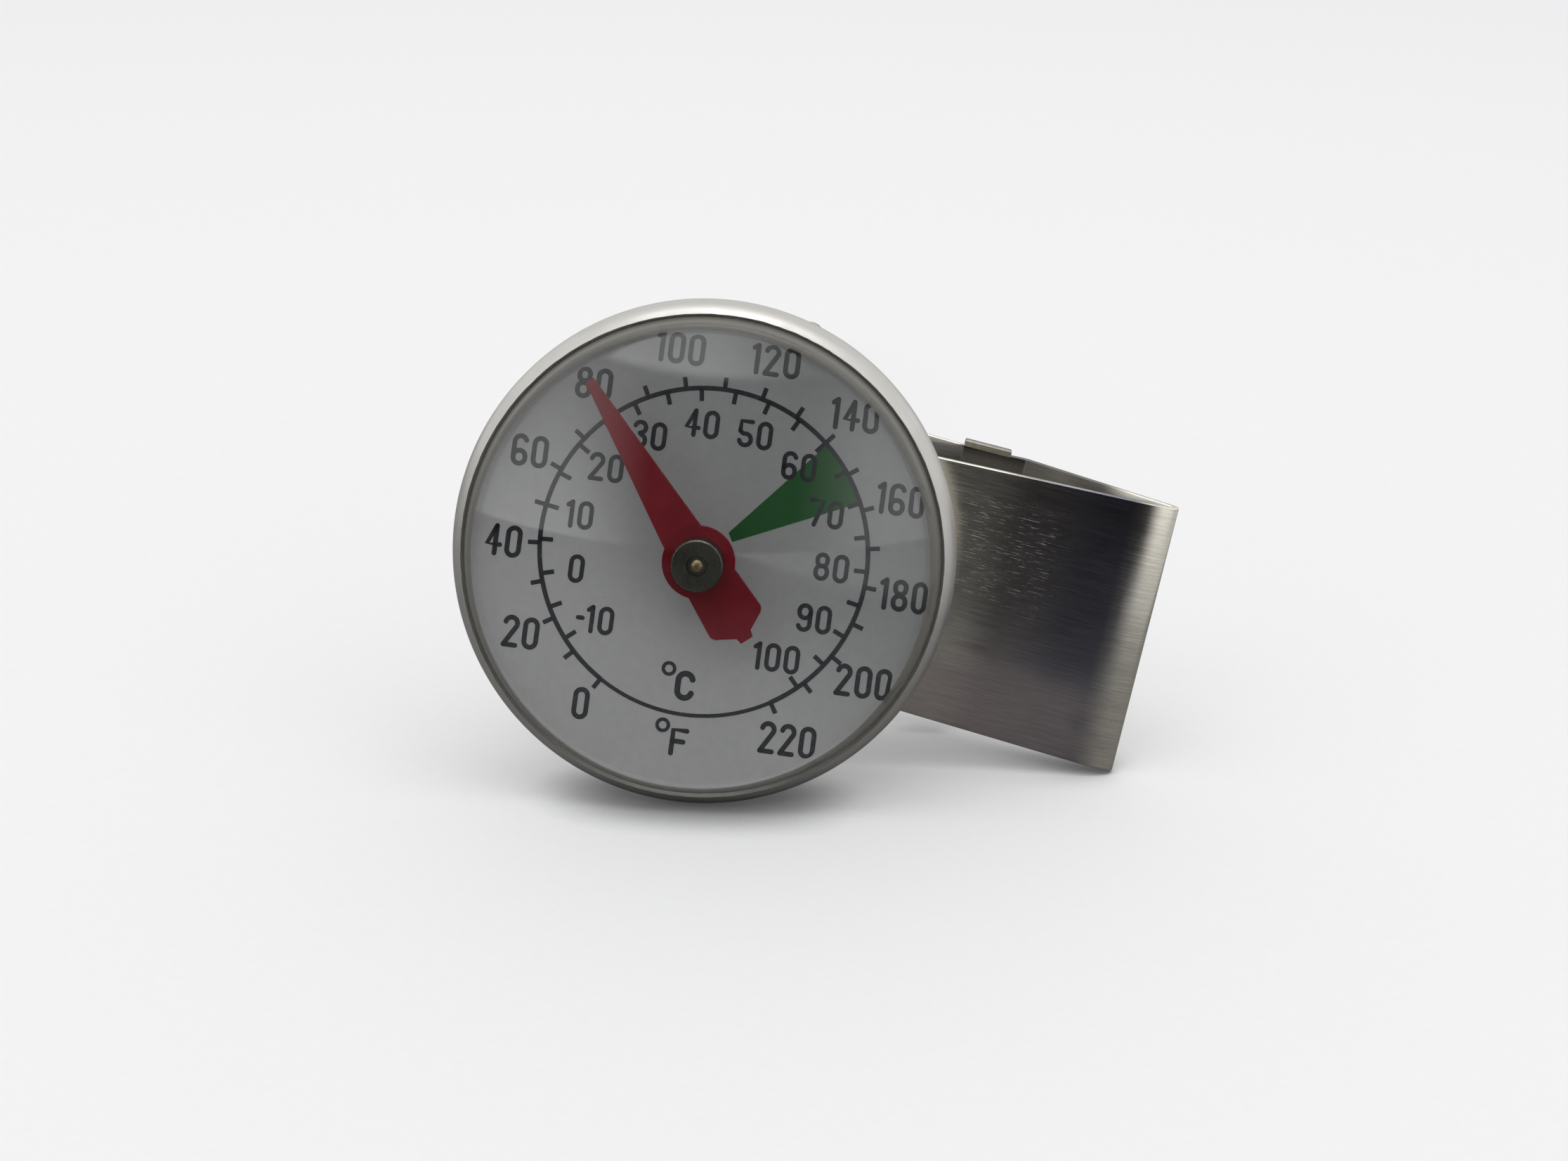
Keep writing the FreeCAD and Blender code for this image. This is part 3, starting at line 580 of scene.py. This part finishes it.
def dome(rim_r, rim_y, apex_y, steps):
    """Points of a shallow dome from its apex to its rim."""
    sag = rim_y - apex_y
    radius = (rim_r**2 + sag**2) / (2 * sag)
    widest = atan2(rim_r, radius - sag)
    angles = [widest * k / steps for k in range(steps + 1)]
    return [(radius * sin(a), apex_y + radius * (1 - cos(a))) for a in angles]


def make_window():
    """Clear moulded window: a flange under the lip, a sloping skirt, a rounded shoulder and a dome."""
    skirt_top = (CRYSTAL_SHOULDER_R + 0.7, CRYSTAL_SHOULDER_Y + 0.5)
    inner_rim = (CRYSTAL_SHOULDER_R + 0.4, CRYSTAL_SHOULDER_Y + 1.15)
    outside = dome(CRYSTAL_SHOULDER_R, CRYSTAL_SHOULDER_Y, CRYSTAL_APEX, 30)
    shoulder = [
        (CRYSTAL_SHOULDER_R + 0.24, CRYSTAL_SHOULDER_Y + 0.06),
        (CRYSTAL_SHOULDER_R + 0.42, CRYSTAL_SHOULDER_Y + 0.14),
        (CRYSTAL_SHOULDER_R + 0.58, CRYSTAL_SHOULDER_Y + 0.28),
        skirt_top,
    ]
    flange = [
        (CRYSTAL_NECK_R, CRYSTAL_FLANGE_FRONT),
        (LIP_R + 0.1, CRYSTAL_FLANGE_FRONT),
        (CRYSTAL_FLANGE_R, CRYSTAL_FLANGE_FRONT + 0.45),
        (CRYSTAL_FLANGE_R, CRYSTAL_BACK),
        (CRYSTAL_NECK_R - CRYSTAL_SKIRT_WALL, CRYSTAL_BACK),
    ]
    inside = dome(inner_rim[0], inner_rim[1], CRYSTAL_APEX + CRYSTAL_WALL, 30)
    profile = outside + shoulder + flange + inside[::-1]
    points, faces = turned_mesh(profile, 256)
    made = add_piece("window", points, faces, "head", MATERIALS["clear_plastic"], "clear_plastic", sharp=40)
    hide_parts("crystal")


# --- dial print ---------------------------------------------------------------------------------------

CIRCLE_R = 14.56
CIRCLE_LINE = 0.42
CLOSING_LINE = 0.35  # the part of the circle below the scale is thinner
OUTER_TICK_R = 15.62
INNER_TICK_R = 13.4
TICK_LINE = 0.4
DEG_PER_F = 1.35
TWELVE_F = 110
OUTER_MARKS = (0.525, 1.23, 0.44)  # half width, half height and stroke, to the middle of the stroke
INNER_MARKS = (0.5, 1.08, 0.4)
DIGIT_GAP = 0.3
C_MARK = (0.635, 1.085, 0.53)
F_MARK = (0.6, 1.05, 0.45)
DEGREE_R = 0.505
DEGREE_LINE = 0.32
DEGREE_OFFSET = (-1.6, 1.33)  # from the middle of its letter
OUTER_LABEL_R = 16.95
OUTER_LABEL_STEP = 0.42  # a label sits this much further out for each of its digits
INNER_LABEL_R = 11.4
ZONE_LOW = ((2.8, 44.4), 41.3)  # inner corner as radius and angle, and the angle at the circle
ZONE_HIGH = ((2.7, 62.9), 64.7)


def scale_angle(fahrenheit):
    """Angle of a temperature, clockwise from the dial's 12 o'clock."""
    return (fahrenheit - TWELVE_F) * DEG_PER_F


def in_fahrenheit(celsius):
    return celsius * 1.8 + 32


def ribbon(path, width, closed=False, caps=True):
    """Flat ribbon round a path of (x, z) points: its own points and faces, with round ends."""
    count = len(path)
    sides = []
    for k, here in enumerate(path):
        before = path[k - 1] if (k or closed) else here
        after = path[(k + 1) % count] if (k + 1 < count or closed) else here
        run = Vector((after[0] - before[0], after[1] - before[1])).normalized()
        sides.append((Vector(here), Vector((-run.y, run.x)) * width / 2))
    points = [p + n for p, n in sides] + [p - n for p, n in sides]
    faces = []
    for k in range(count if closed else count - 1):
        n = (k + 1) % count
        faces.append((k, n, count + n, count + k))
    if caps and not closed:
        for centre, normal, spin in ((*sides[0], 1), (*sides[-1], -1)):
            first = len(points)
            for step in range(9):
                points.append(centre + Matrix.Rotation(spin * pi * step / 8, 2) @ normal)
            faces.append(tuple(range(first, first + 9)))
    return points, faces


def joined(parts):
    """One list of points and faces from several."""
    points, faces = [], []
    for some_points, some_faces in parts:
        base = len(points)
        points += some_points
        faces += [tuple(base + i for i in face) for face in some_faces]
    return points, faces


def glyph(mark, w, h):
    """Strokes of one condensed numeral or letter about its centre, as (path, closed) pairs."""
    top, low = h - w, w - h
    if mark == "0":
        return [(arc((0, top), w, 0, 180, 12) + arc((0, low), w, 180, 360, 12), True)]
    if mark == "1":
        return [([(0.06, h), (0.06, -h)], False), ([(0.06, h), (-0.3, h - 0.3)], False)]
    if mark == "2":
        bow = arc((0, top), w, 170, -25, 14)
        return [(bow + [(-w, -h)], False), ([(-w, -h), (w, -h)], False)]
    if mark == "3":
        upper = arc((0, top + 0.02), w - 0.02, 165, -60, 14)
        lower = arc((0, low + 0.04), w + 0.02, 75, -165, 16)
        return [(upper + [(0.0, 0.1)], False), ([(0.0, 0.1)] + lower, False)]
    if mark == "4":
        return [([(0.2, h), (-w, -0.42), (w + 0.08, -0.42)], False), ([(0.2, h), (0.2, -h)], False)]
    if mark == "5":
        bowl = arc((0, low + 0.06), w + 0.02, 110, -165, 16)
        return [([(w, h), (-w + 0.04, h), (-w, 0.18)], False), ([(-w, 0.18)] + bowl, False)]
    if mark == "6":
        bowl = arc((0, low + 0.12), w, 0, 180, 12)
        back = [(-w, top)] + arc((0, top), w, 180, 20, 10)
        base = arc((0, low), w, 180, 360, 12)
        return [(bowl + base, True), ([(-w, low)] + back, False)]
    if mark == "7":
        return [([(-w, h), (w, h), (-0.12, -h)], False)]
    if mark == "8":
        upper = arc((0, top + 0.02), w - 0.05, -20, 200, 14) + arc((0, top - 0.12), w - 0.05, 200, 340, 8)
        lower = arc((0, low + 0.14), w, -10, 190, 14) + arc((0, low), w, 180, 360, 12)
        return [(upper, True), (lower, True)]
    if mark == "9":
        bowl = arc((0, top - 0.12), w, 180, 360, 12)
        cap = arc((0, top), w, 0, 180, 12)
        tail = [(w, low)] + arc((0, low), w, 0, -160, 10)
        return [(bowl + cap, True), ([(w, top)] + tail, False)]
    if mark == "C":
        return [(arc((0, top), w, 15, 180, 12) + arc((0, low), w, 180, 345, 12), False)]
    if mark == "F":
        return [([(-w, -h), (-w, h), (w, h)], False), ([(-w, 0.05), (w - 0.22, 0.05)], False)]
    return [([(-0.2, 0.0), (0.2, 0.0)], False)]


def advance(mark, w, stroke):
    """Width that a mark takes in a line of text."""
    narrow = {"1": 0.62, "-": 0.75}
    return narrow.get(mark, 2 * w + stroke)


def text_strokes(text, centre, size):
    """Ribbons of a line of marks centred on a dial place."""
    w, h, stroke = size
    total = sum(advance(m, w, stroke) for m in text) + DIGIT_GAP * (len(text) - 1)
    x = centre[0] - total / 2
    parts = []
    for mark in text:
        wide = advance(mark, w, stroke)
        for path, closed in glyph(mark, w, h):
            moved = [(x + wide / 2 + px, centre[1] + pz) for px, pz in path]
            parts.append(ribbon(moved, stroke, closed))
        x += wide + DIGIT_GAP
    return parts


def dial_place(radius, angle):
    """Place on the dial, at an angle clockwise from its 12 o'clock."""
    return (radius * sin(radians(angle)), radius * cos(radians(angle)))


def tick(angle, from_r, to_r):
    """Scale mark between two radii."""
    return ribbon([dial_place(from_r, angle), dial_place(to_r, angle)], TICK_LINE, caps=False)


def dial_arc(radius, start, end, width):
    """Line round the dial between two angles."""
    steps = max(8, int(abs(end - start) / 2))
    angles = [start + (end - start) * k / steps for k in range(steps + 1)]
    return ribbon([dial_place(radius, a) for a in angles], width, caps=False)


def print_piece(name, parts, lift, material):
    """Prints flat parts on the dial, lifted off it by a hair."""
    points, faces = joined(parts)
    flat = [(p[0], DIAL_FRONT - lift, p[1]) for p in points]
    add_piece(name, flat, faces, "head", material, turn=clockwise(DIAL_ROLL))


def make_dial_print():
    """Two scales on one circle, Fahrenheit outside and Celsius inside, and the green serving zone."""
    start, end = scale_angle(0), scale_angle(220)
    fahrenheit = [dial_arc(CIRCLE_R, start, end, CIRCLE_LINE)]
    fahrenheit += [tick(scale_angle(f), CIRCLE_R, OUTER_TICK_R) for f in range(0, 221, 10)]
    for value in range(0, 221, 20):
        text = str(value)
        place = dial_place(OUTER_LABEL_R + OUTER_LABEL_STEP * len(text), scale_angle(value))
        fahrenheit += text_strokes(text, place, OUTER_MARKS)
    celsius = [dial_arc(CIRCLE_R, end, start + 360, CLOSING_LINE)]
    celsius += [tick(scale_angle(in_fahrenheit(c)), INNER_TICK_R, CIRCLE_R) for c in range(-10, 101, 5)]
    for value in range(-10, 101, 10):
        place = dial_place(INNER_LABEL_R, scale_angle(in_fahrenheit(value)))
        celsius += text_strokes(str(value), place, INNER_MARKS)
    for letter, x, z, size in (("C", -0.1, -12.0, C_MARK), ("F", 0.0, -17.04, F_MARK)):
        celsius += text_strokes(letter, (x, z), size)
        ring = arc((x + DEGREE_OFFSET[0], z + DEGREE_OFFSET[1]), DEGREE_R, 0, 360, 24)[:-1]
        celsius.append(ribbon(ring, DEGREE_LINE, True))
    print_piece("scale_fahrenheit", fahrenheit, INK_LIFT, INK_BLACK)
    print_piece("scale_celsius", celsius, INK_LIFT, INK_BLACK)
    (low_corner, low), (high_corner, high) = ZONE_LOW, ZONE_HIGH
    rim = [dial_place(CIRCLE_R - 0.1, low + (high - low) * k / 16) for k in range(17)]
    zone = [Vector(p) for p in (dial_place(*low_corner), *rim, dial_place(*high_corner))]
    print_piece("serving_zone", [(zone, [tuple(range(len(zone)))])], WEDGE_LIFT, INK_GREEN)


# --- clip ---------------------------------------------------------------------------------------------


def strip_half_width(x):
    """Half width of the tapered strip, x out from the stem."""
    slope = (CLIP_WIDTH_AT_FOLD - CLIP_WIDTH_AT_STEM) / CLIP_REACH
    return (CLIP_WIDTH_AT_STEM + slope * x) / 2


def rounded_end_width(x, end_x):
    """Half width of a strip whose near end, at end_x, has round corners."""
    full = strip_half_width(x)
    into = min(max(x - end_x, 0.0), CLIP_END_CORNER)
    rest = CLIP_END_CORNER - into
    return full - CLIP_END_CORNER + (CLIP_END_CORNER**2 - rest**2) ** 0.5


def softened(corners, radius, steps):
    """Path through corners with each inner corner rounded."""
    path = [corners[0]]
    for before, here, after in zip(corners, corners[1:], corners[2:]):
        a = (Vector(before) - Vector(here)).normalized()
        b = (Vector(after) - Vector(here)).normalized()
        half = a.angle(b) / 2
        setback = radius / tan(half)
        centre = Vector(here) + (a + b).normalized() * radius / sin(half)
        first = Vector(here) + a * setback - centre
        last = Vector(here) + b * setback - centre
        sweep = atan2(first.x * last.y - first.y * last.x, first.dot(last))
        for k in range(steps + 1):
            path.append(tuple(centre + Matrix.Rotation(sweep * k / steps, 2) @ first))
    path.append(corners[-1])
    return path


def divided(path, longest):
    """The same path with its long stretches cut into short ones."""
    out = [path[0]]
    for a, b in zip(path, path[1:]):
        run = (b[0] - a[0], b[1] - a[1])
        parts = max(1, round(hypot(*run) / longest))
        out += [(a[0] + run[0] * k / parts, a[1] + run[1] * k / parts) for k in range(1, parts + 1)]
    return out


def swept_strip(path, sheet, half_width, edge):
    """Strip of sheet along a middle-line path of (x, y) points: points, faces and (length, across) UVs."""
    half = sheet / 2
    corner = [(half - edge + edge * sin(radians(t)), edge * (1 - cos(radians(t)))) for t in (90, 60, 30, 0)]
    section = [(n, 1, inset) for n, inset in corner]
    section += [(-n, 1, inset) for n, inset in reversed(corner)]
    section += [(n, -side, inset) for n, side, inset in reversed(section)]
    points, uvs, length = [], [], 0.0
    for k, here in enumerate(path):
        before = path[max(k - 1, 0)]
        after = path[min(k + 1, len(path) - 1)]
        run = Vector((after[0] - before[0], after[1] - before[1])).normalized()
        normal = Vector((-run.y, run.x))
        length += hypot(here[0] - before[0], here[1] - before[1])
        wide = half_width(here)
        for n, side, inset in section:
            spot = Vector(here) + normal * n
            z = side * (wide - inset)
            points.append((spot.x, spot.y, z))
            uvs.append((length, z))
    size = len(section)
    faces = []
    for k in range(len(path) - 1):
        for i in range(size):
            j = (i + 1) % size
            faces.append((k * size + i, k * size + j, (k + 1) * size + j, (k + 1) * size + i))
    faces.append(tuple(range(size - 1, -1, -1)))
    last = (len(path) - 1) * size
    faces.append(tuple(range(last, last + size)))
    return points, faces, uvs


def drilled(piece, radius, front, back):
    """Cuts a round hole about the stem through a piece."""
    rim = [(radius, front), (radius, back), (0, back), (0, front)]
    points, faces = turned_mesh(rim, 64)
    mesh = bpy.data.meshes.new("drill")
    mesh.from_pydata(points, [], faces)
    mesh.transform(STEM)
    drill = bpy.data.objects.new("drill", mesh)
    bpy.context.scene.collection.objects.link(drill)
    cut = piece.modifiers.new("hole", "BOOLEAN")
    cut.object = drill
    cut.solver = "EXACT"
    bpy.context.view_layer.update()
    done = bpy.data.meshes.new_from_object(piece.evaluated_get(bpy.context.evaluated_depsgraph_get()))
    piece.modifiers.clear()
    piece.data = done
    bpy.data.objects.remove(drill)
    done.shade_smooth()
    done.set_sharp_from_angle(angle=radians(35))


def shifted_corners(corners, distance):
    """A path moved sideways, to the right of its direction, with mitred corners."""
    out = []
    for k, here in enumerate(corners):
        before = corners[max(k - 1, 0)]
        after = corners[min(k + 1, len(corners) - 1)]
        a = Vector((here[0] - before[0], here[1] - before[1])) if k else None
        b = Vector((after[0] - here[0], after[1] - here[1])) if k + 1 < len(corners) else None
        a = (a or b).normalized()
        b = (b or a).normalized()
        normal = Vector((a.y + b.y, -a.x - b.x)).normalized()
        spot = Vector(here) - normal * distance / normal.dot(Vector((-a.y, a.x)))
        out.append(tuple(spot))
    return out


def make_clip_band():
    """Tapered strip folded into a hairpin, with its brushing along its length."""
    bend_end = CLIP_BEND - 90
    turn_end = 90 - REAR_ANGLE
    between = CLIP_BEND_R - CLIP_FOLD_R
    bend_from = CLIP_REACH - CLIP_FOLD_R - between * cos(radians(bend_end))
    bend_centre = (bend_from, CLIP_FRONT + CLIP_BEND_R)
    centre = arc(bend_centre, between, bend_end, bend_end, 1)[0]
    outer_end = arc(centre, CLIP_FOLD_R, turn_end, turn_end, 1)[0]
    crest_far = outer_end[0] - (CREST_BACK - outer_end[1]) / tan(radians(REAR_ANGLE))
    backs = [outer_end, (crest_far, CREST_BACK), (CREST_NEAR, CREST_BACK), (REAR_FLAT_FROM, REAR_FLAT_BACK)]
    backs.append((-CLIP_END, REAR_FLAT_BACK))
    rear = softened(shifted_corners(backs, -CLIP_SHEET / 2), 1.0, 5)
    front = [(-CLIP_END, CLIP_FRONT + CLIP_SHEET / 2), (bend_from, CLIP_FRONT + CLIP_SHEET / 2)]
    fold = arc(bend_centre, CLIP_BEND_R - CLIP_SHEET / 2, -90, bend_end, 12)
    fold += arc(centre, CLIP_FOLD_R - CLIP_SHEET / 2, bend_end, turn_end, 20)[1:]
    ends = [k * CLIP_END_CORNER / 8 - CLIP_END for k in range(9)]
    start = [(x, front[0][1]) for x in ends]
    finish = [(x, rear[-1][1]) for x in reversed(ends)]
    path = start + divided([start[-1], front[1]], 2.0)[1:] + fold[1:]
    path += divided([fold[-1]] + rear[1:-1] + [finish[0]], 2.0)[1:] + finish[1:]
    swept = swept_strip(path, CLIP_SHEET, lambda p: rounded_end_width(p[0], -CLIP_END), STRIP_EDGE)
    points, faces, uvs = swept
    steel = MATERIALS["clip_steel"]
    turn = clockwise(CLIP_SWING)
    made = add_piece("clip_strip", points, faces, "clip", steel, "clip_steel", uvs, turn)
    middle = (CLIP_FRONT + REAR_FLAT_BACK) / 2
    drilled(made, EYELET_HOLE_R, CLIP_FRONT - 1, middle)
    drilled(made, REAR_HOLE_R, middle, REAR_FLAT_BACK + 1)
    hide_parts("clip_band")


def make_clip_tongue():
    """Second sheet: a blade that leans back past the stem, and a clasp whose ears close on the strip."""
    half = TONGUE_SHEET / 2
    lean = tan(radians(TONGUE_ANGLE))
    tip = (-TONGUE_END, CREST_BACK + (TONGUE_PAD_NEAR + TONGUE_END) * lean + half)
    corners = [(TONGUE_PAD_FAR - 0.1, CREST_BACK + half), (TONGUE_PAD_NEAR, CREST_BACK + half), tip]
    ends = [(-TONGUE_END + k * CLIP_END_CORNER / 8) for k in range(8, -1, -1)]
    bent = softened(corners, 1.0, 5)
    finish = [(x, tip[1] - (x + TONGUE_END) * lean) for x in ends]
    path = divided(bent[:-1] + [finish[0]], 2.0) + finish[1:]
    sheet = TONGUE_SHEET - TONGUE_PLAY
    half_width = lambda p: rounded_end_width(p[0], -TONGUE_END) - BLADE_INSET
    blade = swept_strip(path, sheet, half_width, TONGUE_EDGE)
    turn = clockwise(CLIP_SWING)
    steel = MATERIALS["clip_steel"]
    made = add_piece("tongue_blade", *blade[:2], "clip", steel, "clip_steel", blade[2], turn)
    drilled(made, REAR_HOLE_R, CREST_BACK + 1, CREST_BACK + 15)
    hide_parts("clip_tongue")

    edge = strip_half_width(TONGUE_PAD_FAR) + EAR_GAP + half
    ear = CREST_BACK - EAR_REACH
    corners = [(-edge, ear), (-edge, CREST_BACK + half), (edge, CREST_BACK + half), (edge, ear)]
    path = divided(softened(corners, EAR_BEND_R, 6), 2.0)
    wide = (TONGUE_PAD_FAR - TONGUE_PAD_NEAR) / 2
    points, faces, uvs = swept_strip(path, TONGUE_SHEET, lambda p: wide, TONGUE_EDGE)
    middle = (TONGUE_PAD_FAR + TONGUE_PAD_NEAR) / 2
    points = [(middle + across, y, z) for z, y, across in points]
    add_piece("tongue_clasp", points, faces, "clip", steel, "clip_steel", uvs, turn)


# --- build --------------------------------------------------------------------------------------------

for part in frame["record"]["subparts"]:
    carried = NODES[part["node"]]
    carried.data.materials.clear()
    carried.data.materials.append(MATERIALS[part["material_slot"]])

make_bezel()
make_window()
make_dial_print()
make_clip_band()
make_clip_tongue()

# --- stage --------------------------------------------------------------------------------------------


def make_floor():
    """Wide flat floor just below the object's lowest point."""
    mesh = bpy.data.meshes.new("floor")
    wide = 3.0
    corners = [(-wide, -wide, 0), (wide, -wide, 0), (wide, wide, 0), (-wide, wide, 0)]
    mesh.from_pydata(corners, [], [(0, 1, 2, 3)])
    mesh.materials.append(sweep_surface("sweep"))
    floor = bpy.data.objects.new("floor", mesh)
    floor.location.z = FLOOR_Z
    bpy.context.scene.collection.objects.link(floor)


def make_room():
    """White above, behind and at the sides, and dim in front; the camera sees a plain pale backdrop."""
    world = bpy.data.worlds.new("room")
    bpy.context.scene.world = world
    s = Shader(world)
    ray = s.node("ShaderNodeTexCoord").outputs["Generated"]
    x, y, z = s.node("ShaderNodeSeparateXYZ", {0: ray}).outputs
    ceiling = s.ramp(z, 0.62, 0.9, 0.0, 0.9)
    back = s.ramp(y, -0.1, 0.5, 0.0, 0.8)
    sides = s.ramp(s.math("ABSOLUTE", x), 0.2, 0.6, 0.0, 0.9)
    light = s.math("MAXIMUM", s.math("MAXIMUM", ceiling, back), sides)
    dim = s.ramp(x, -0.02, 0.03, 0.08, 0.03)
    # a bright window high in front, brighter on the left
    across = s.math("MULTIPLY", s.ramp(x, -0.5, -0.4), s.ramp(x, -0.15, 0.3, 1.0, 0.25))
    low_edge = s.ramp(z, 0.565, 0.59)
    high_edge = s.ramp(z, 0.75, 0.85, 1.0, 0.0)
    ahead = s.ramp(y, -0.3, -0.1, 1.35, 0.0)
    window = s.math("MULTIPLY", s.math("MULTIPLY", across, low_edge), s.math("MULTIPLY", high_edge, ahead))
    room = s.math("ADD", s.math("MAXIMUM", light, dim), window)
    rays = s.node("ShaderNodeLightPath").outputs["Is Camera Ray"]
    colour = s.node("ShaderNodeCombineColor", {0: room, 1: room, 2: room}).outputs[0]
    seen = s.mix(rays, colour, BACKDROP)
    glow = s.node("ShaderNodeBackground", {0: seen, 1: 1.0})
    s.node("ShaderNodeOutputWorld", {0: glow.outputs[0]})


def add_softbox(name, place, aim, size, power):
    """Rectangular lamp, with its size in metres and its power in watts."""
    light = bpy.data.lights.new(name, "AREA")
    light.shape = "RECTANGLE"
    light.size, light.size_y = size
    light.energy = power
    lamp = bpy.data.objects.new(name, light)
    lamp.location = place
    lamp.rotation_euler = (Vector(aim) - Vector(place)).to_track_quat("-Z", "Y").to_euler()
    bpy.context.scene.collection.objects.link(lamp)


CAMERA_DISTANCE = 0.260  # metres from the middle of the lip
CAMERA_AZIMUTH = 6.162
CAMERA_ELEVATION = 21.77
VIEW_YAW = -1.624
VIEW_PITCH = -10.295
VIEW_ROLL = -1.695
SENSOR = 36.0
LENS = 65.8871
LENS_SHIFT = (-0.096147, -0.385036)  # as shares of the picture's width
SHIFT_FADE = 0.02  # how far the camera moves, in metres, before its lens shift is gone


def hold_shift(camera, home, channel, value):
    """Lens shift that holds at the camera's home and goes once the camera is moved round the object."""
    curve = camera.data.driver_add(channel)
    while curve.modifiers:
        curve.modifiers.remove(curve.modifiers[0])
    curve.driver.type = "SUM"
    distance = curve.driver.variables.new()
    distance.type = "LOC_DIFF"
    distance.targets[0].id = camera
    distance.targets[1].id = home
    for away, shift in ((0.0, value), (SHIFT_FADE, 0.0)):
        key = curve.keyframe_points.insert(away, shift)
        key.interpolation = "LINEAR"


def make_camera():
    """Camera above and in front of the dial, with its picture plane nearly parallel to the dial."""
    lip_centre = AXIS * LIP_PLANE
    az, el = radians(CAMERA_AZIMUTH), radians(CAMERA_ELEVATION)
    back = Vector((sin(az) * cos(el), -cos(az) * cos(el), sin(el)))
    yaw, pitch, roll = radians(VIEW_YAW), radians(VIEW_PITCH), radians(VIEW_ROLL)
    forward = Vector((sin(yaw) * cos(pitch), cos(yaw) * cos(pitch), sin(pitch)))
    level = forward.cross(Vector((0, 0, 1))).normalized()
    upright = level.cross(forward)
    across = level * cos(roll) - upright * sin(roll)
    above = upright * cos(roll) + level * sin(roll)
    data = bpy.data.cameras.new("camera")
    data.sensor_width = SENSOR
    data.sensor_fit = "HORIZONTAL"
    data.lens = LENS
    data.clip_start, data.clip_end = 0.01, 20.0
    camera = bpy.data.objects.new("camera", data)
    camera.location = lip_centre + back * CAMERA_DISTANCE
    camera.rotation_euler = Matrix((across, above, -forward)).transposed().to_euler()
    bpy.context.scene.collection.objects.link(camera)
    home = bpy.data.objects.new("camera_home", None)
    home.location = camera.location
    bpy.context.scene.collection.objects.link(home)
    hold_shift(camera, home, "shift_x", LENS_SHIFT[0])
    hold_shift(camera, home, "shift_y", LENS_SHIFT[1])
    bpy.context.scene.camera = camera


make_floor()
make_room()
add_softbox("softbox_top", (0.0, -0.08, 0.85), (0, 0, 0), (0.8, 0.4), 1.6)
make_camera()
bpy.context.scene.view_settings.view_transform = "Standard"
bpy.context.view_layer.update()
